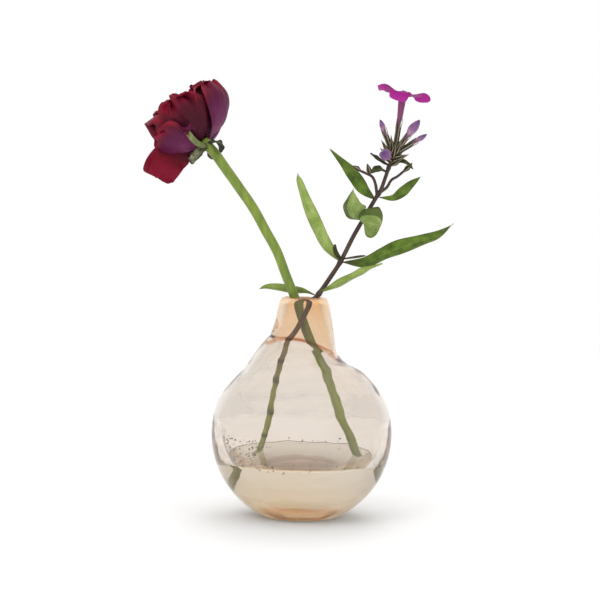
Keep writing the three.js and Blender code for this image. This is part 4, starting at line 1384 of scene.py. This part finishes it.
def make_bud(name, base, mouth, bud_length, bud_radius):
    length = length_between(base, mouth)
    neck = CALYX_RADIUS - CALYX_WALL - 0.2
    heights = [0.6 * length, length, length + 0.25 * bud_length, length + 0.5 * bud_length,
               length + 0.78 * bud_length, length + 0.95 * bud_length]
    radii = [neck, neck, 0.86 * bud_radius, bud_radius, 0.62 * bud_radius, 0.16 * bud_radius]
    share = np.linspace(0, 1, 40)
    path = smooth_path([[r, h] for r, h in zip(radii, heights)])(share)
    outline = np.column_stack([np.maximum(path[:, 0], 0.05), path[:, 1], share])
    total = heights[-1] - heights[0]

    def furl(turn, height):
        climb = (height - heights[0]) / total
        return 0.11 * climb * np.cos(5 * turn + 7 * climb)

    end = length + bud_length * 0.97
    return turned_piece(name, base, mouth, outline, heights[0] - 0.05, end, wave=furl)


def settle_calyx(number, base, mouth, closed):
    """Makes a calyx that grows from the stem and gives back the place where it grows."""
    root = from_stem([base])[0]
    nodes = [f"phlox_calyx_{number}"] if number <= CALYCES_IN_CAD else []
    settle(make_calyx(f"calyx_{number}", root, mouth, closed), "phlox", "calyx", STRIPED_CALYX, *nodes)
    return root


settle_calyx(1, *FLOWER_CALYX, closed=False)
for number, (base, mouth, bud_length, bud_radius) in enumerate(BUD_CALYCES, 1):
    root = settle_calyx(number + 1, base, mouth, closed=False)
    bud = make_bud(f"bud_{number}", root, mouth, bud_length, bud_radius)
    settle(bud, "phlox", "bud", VIOLET_BUD, f"phlox_bud_{number}")
for number, (base, mouth) in enumerate(CLOSED_CALYCES, len(BUD_CALYCES) + 2):
    settle_calyx(number, base, mouth, closed=True)
print("closed calyces:", len(CLOSED_CALYCES), "buds:", len(BUD_CALYCES))

# %% Side branchlets and their small buds
BRANCHLETS = {
    "left": [[33.2, -2.3, 161.8], [34.1, -2.6, 166], [32.4, -3.2, 169.4], [28.8, -4, 171.2],
             [26.4, -4.2, 172.2]],
    "right": [[37.6, 1.6, 161], [40, 2.2, 164.4], [42.2, 3, 168], [45.3, 3, 170], [48.3, 3, 172.6]]}
SMALL_BUDS = [([26.6, -4.2, 172.1], [22.4, -4.6, 174.6]), ([31.4, -3.4, 170.2], [29.8, -4.2, 175.8]),
              ([48.2, 3, 172.4], [52.6, 3, 176.8])]

for name, points in BRANCHLETS.items():
    made = stalk(f"branchlet_{name}", from_stem(points), taper(0.8, 0.62), PHLOX_BROWN, steps=40)
    settle(made, "phlox", "phlox_stem", PHLOX_BROWN, f"phlox_branchlet_{name}")
for index, (base, tip) in enumerate(SMALL_BUDS, 1):
    length = length_between(base, tip)
    share = np.linspace(0, 1, 24)[:-1]
    radius = np.interp(share, [0, 0.4, 0.8, 1], [0.55, 1.4, 0.7, 0.1])
    outline = np.stack([radius, length * share, share], 1)
    made = turned_piece(f"small_bud_{index}", base, tip, outline, -0.02, length, columns=30, wave=ribs)
    settle(made, "phlox", "calyx", STRIPED_CALYX, f"phlox_small_bud_{index}")
print("branchlets:", len(BRANCHLETS), "with", len(SMALL_BUDS), "small buds")

# %% The open flower
THROAT = np.array([46.7, 0.1, 209.4])
FLOWER_AXIS = unit([0.22, 0.02, 0.97])
# Each lobe: its direction in degrees, its length, its rise, the height of its tip and its roll.
FLOWER_PETALS = [(186, 12.6, 1.4, 0.8, 0.45), (258, 10.5, 0.8, -3.6, 0), (330, 12.4, 1.2, -1.2, -0.4),
                 (42, 12.6, 1.8, 0.4, -0.2), (114, 11, 2.4, 1.8, 0.2)]
PETAL_HALF_WIDTH = 5.0


def make_tube():
    base, mouth = np.array(FLOWER_CALYX, float)
    foot = base + (mouth - base) * 0.6
    length = length_between(foot, THROAT)
    share = np.linspace(0, 1, 40)
    radius = np.interp(share, [0, 0.32, 0.42, 0.9, 1], [0.8, 0.85, 1.3, 1.9, 2.7])
    outline = np.stack([radius, length * share, share], 1)
    return turned_piece("flower_tube", foot, THROAT, outline, -0.02, length - 0.8,
                        wave=lambda turn, height: 0.05 * np.cos(5 * turn))


settle(make_tube(), "phlox", "corolla_tube", FLOWER_TUBE, "phlox_corolla_tube")
stand_in_flower = pointing(THROAT, THROAT + FLOWER_AXIS)
for index, (angle, length, rise, tip, roll) in enumerate(FLOWER_PETALS, 1):
    turn = math.radians(angle)
    spin = np.array([[math.cos(turn), math.sin(turn), 0], [-math.sin(turn), math.cos(turn), 0], [0, 0, 1]])
    spine = [[1.0, 0, 0.3], [0.45 * length, 0, rise], [0.8 * length, 0, rise], [length, 0, tip]]
    shape = blade(spine, [0, roll, 1], PETAL_HALF_WIDTH, widest=0.72, fullness=1.5, cup=0.12, ruffle=0.45,
                  waves=1.6, phase=index, placed=lambda p, spin=spin: stand_in_flower(p @ spin))
    made = sheet(f"flower_petal_{index}", shape, thickness=0.35, columns=56, rows=44)
    settle(made, "phlox", "phlox_petal", MAGENTA_PETAL, f"phlox_petal_{index}")
print("flower petals:", len(FLOWER_PETALS))
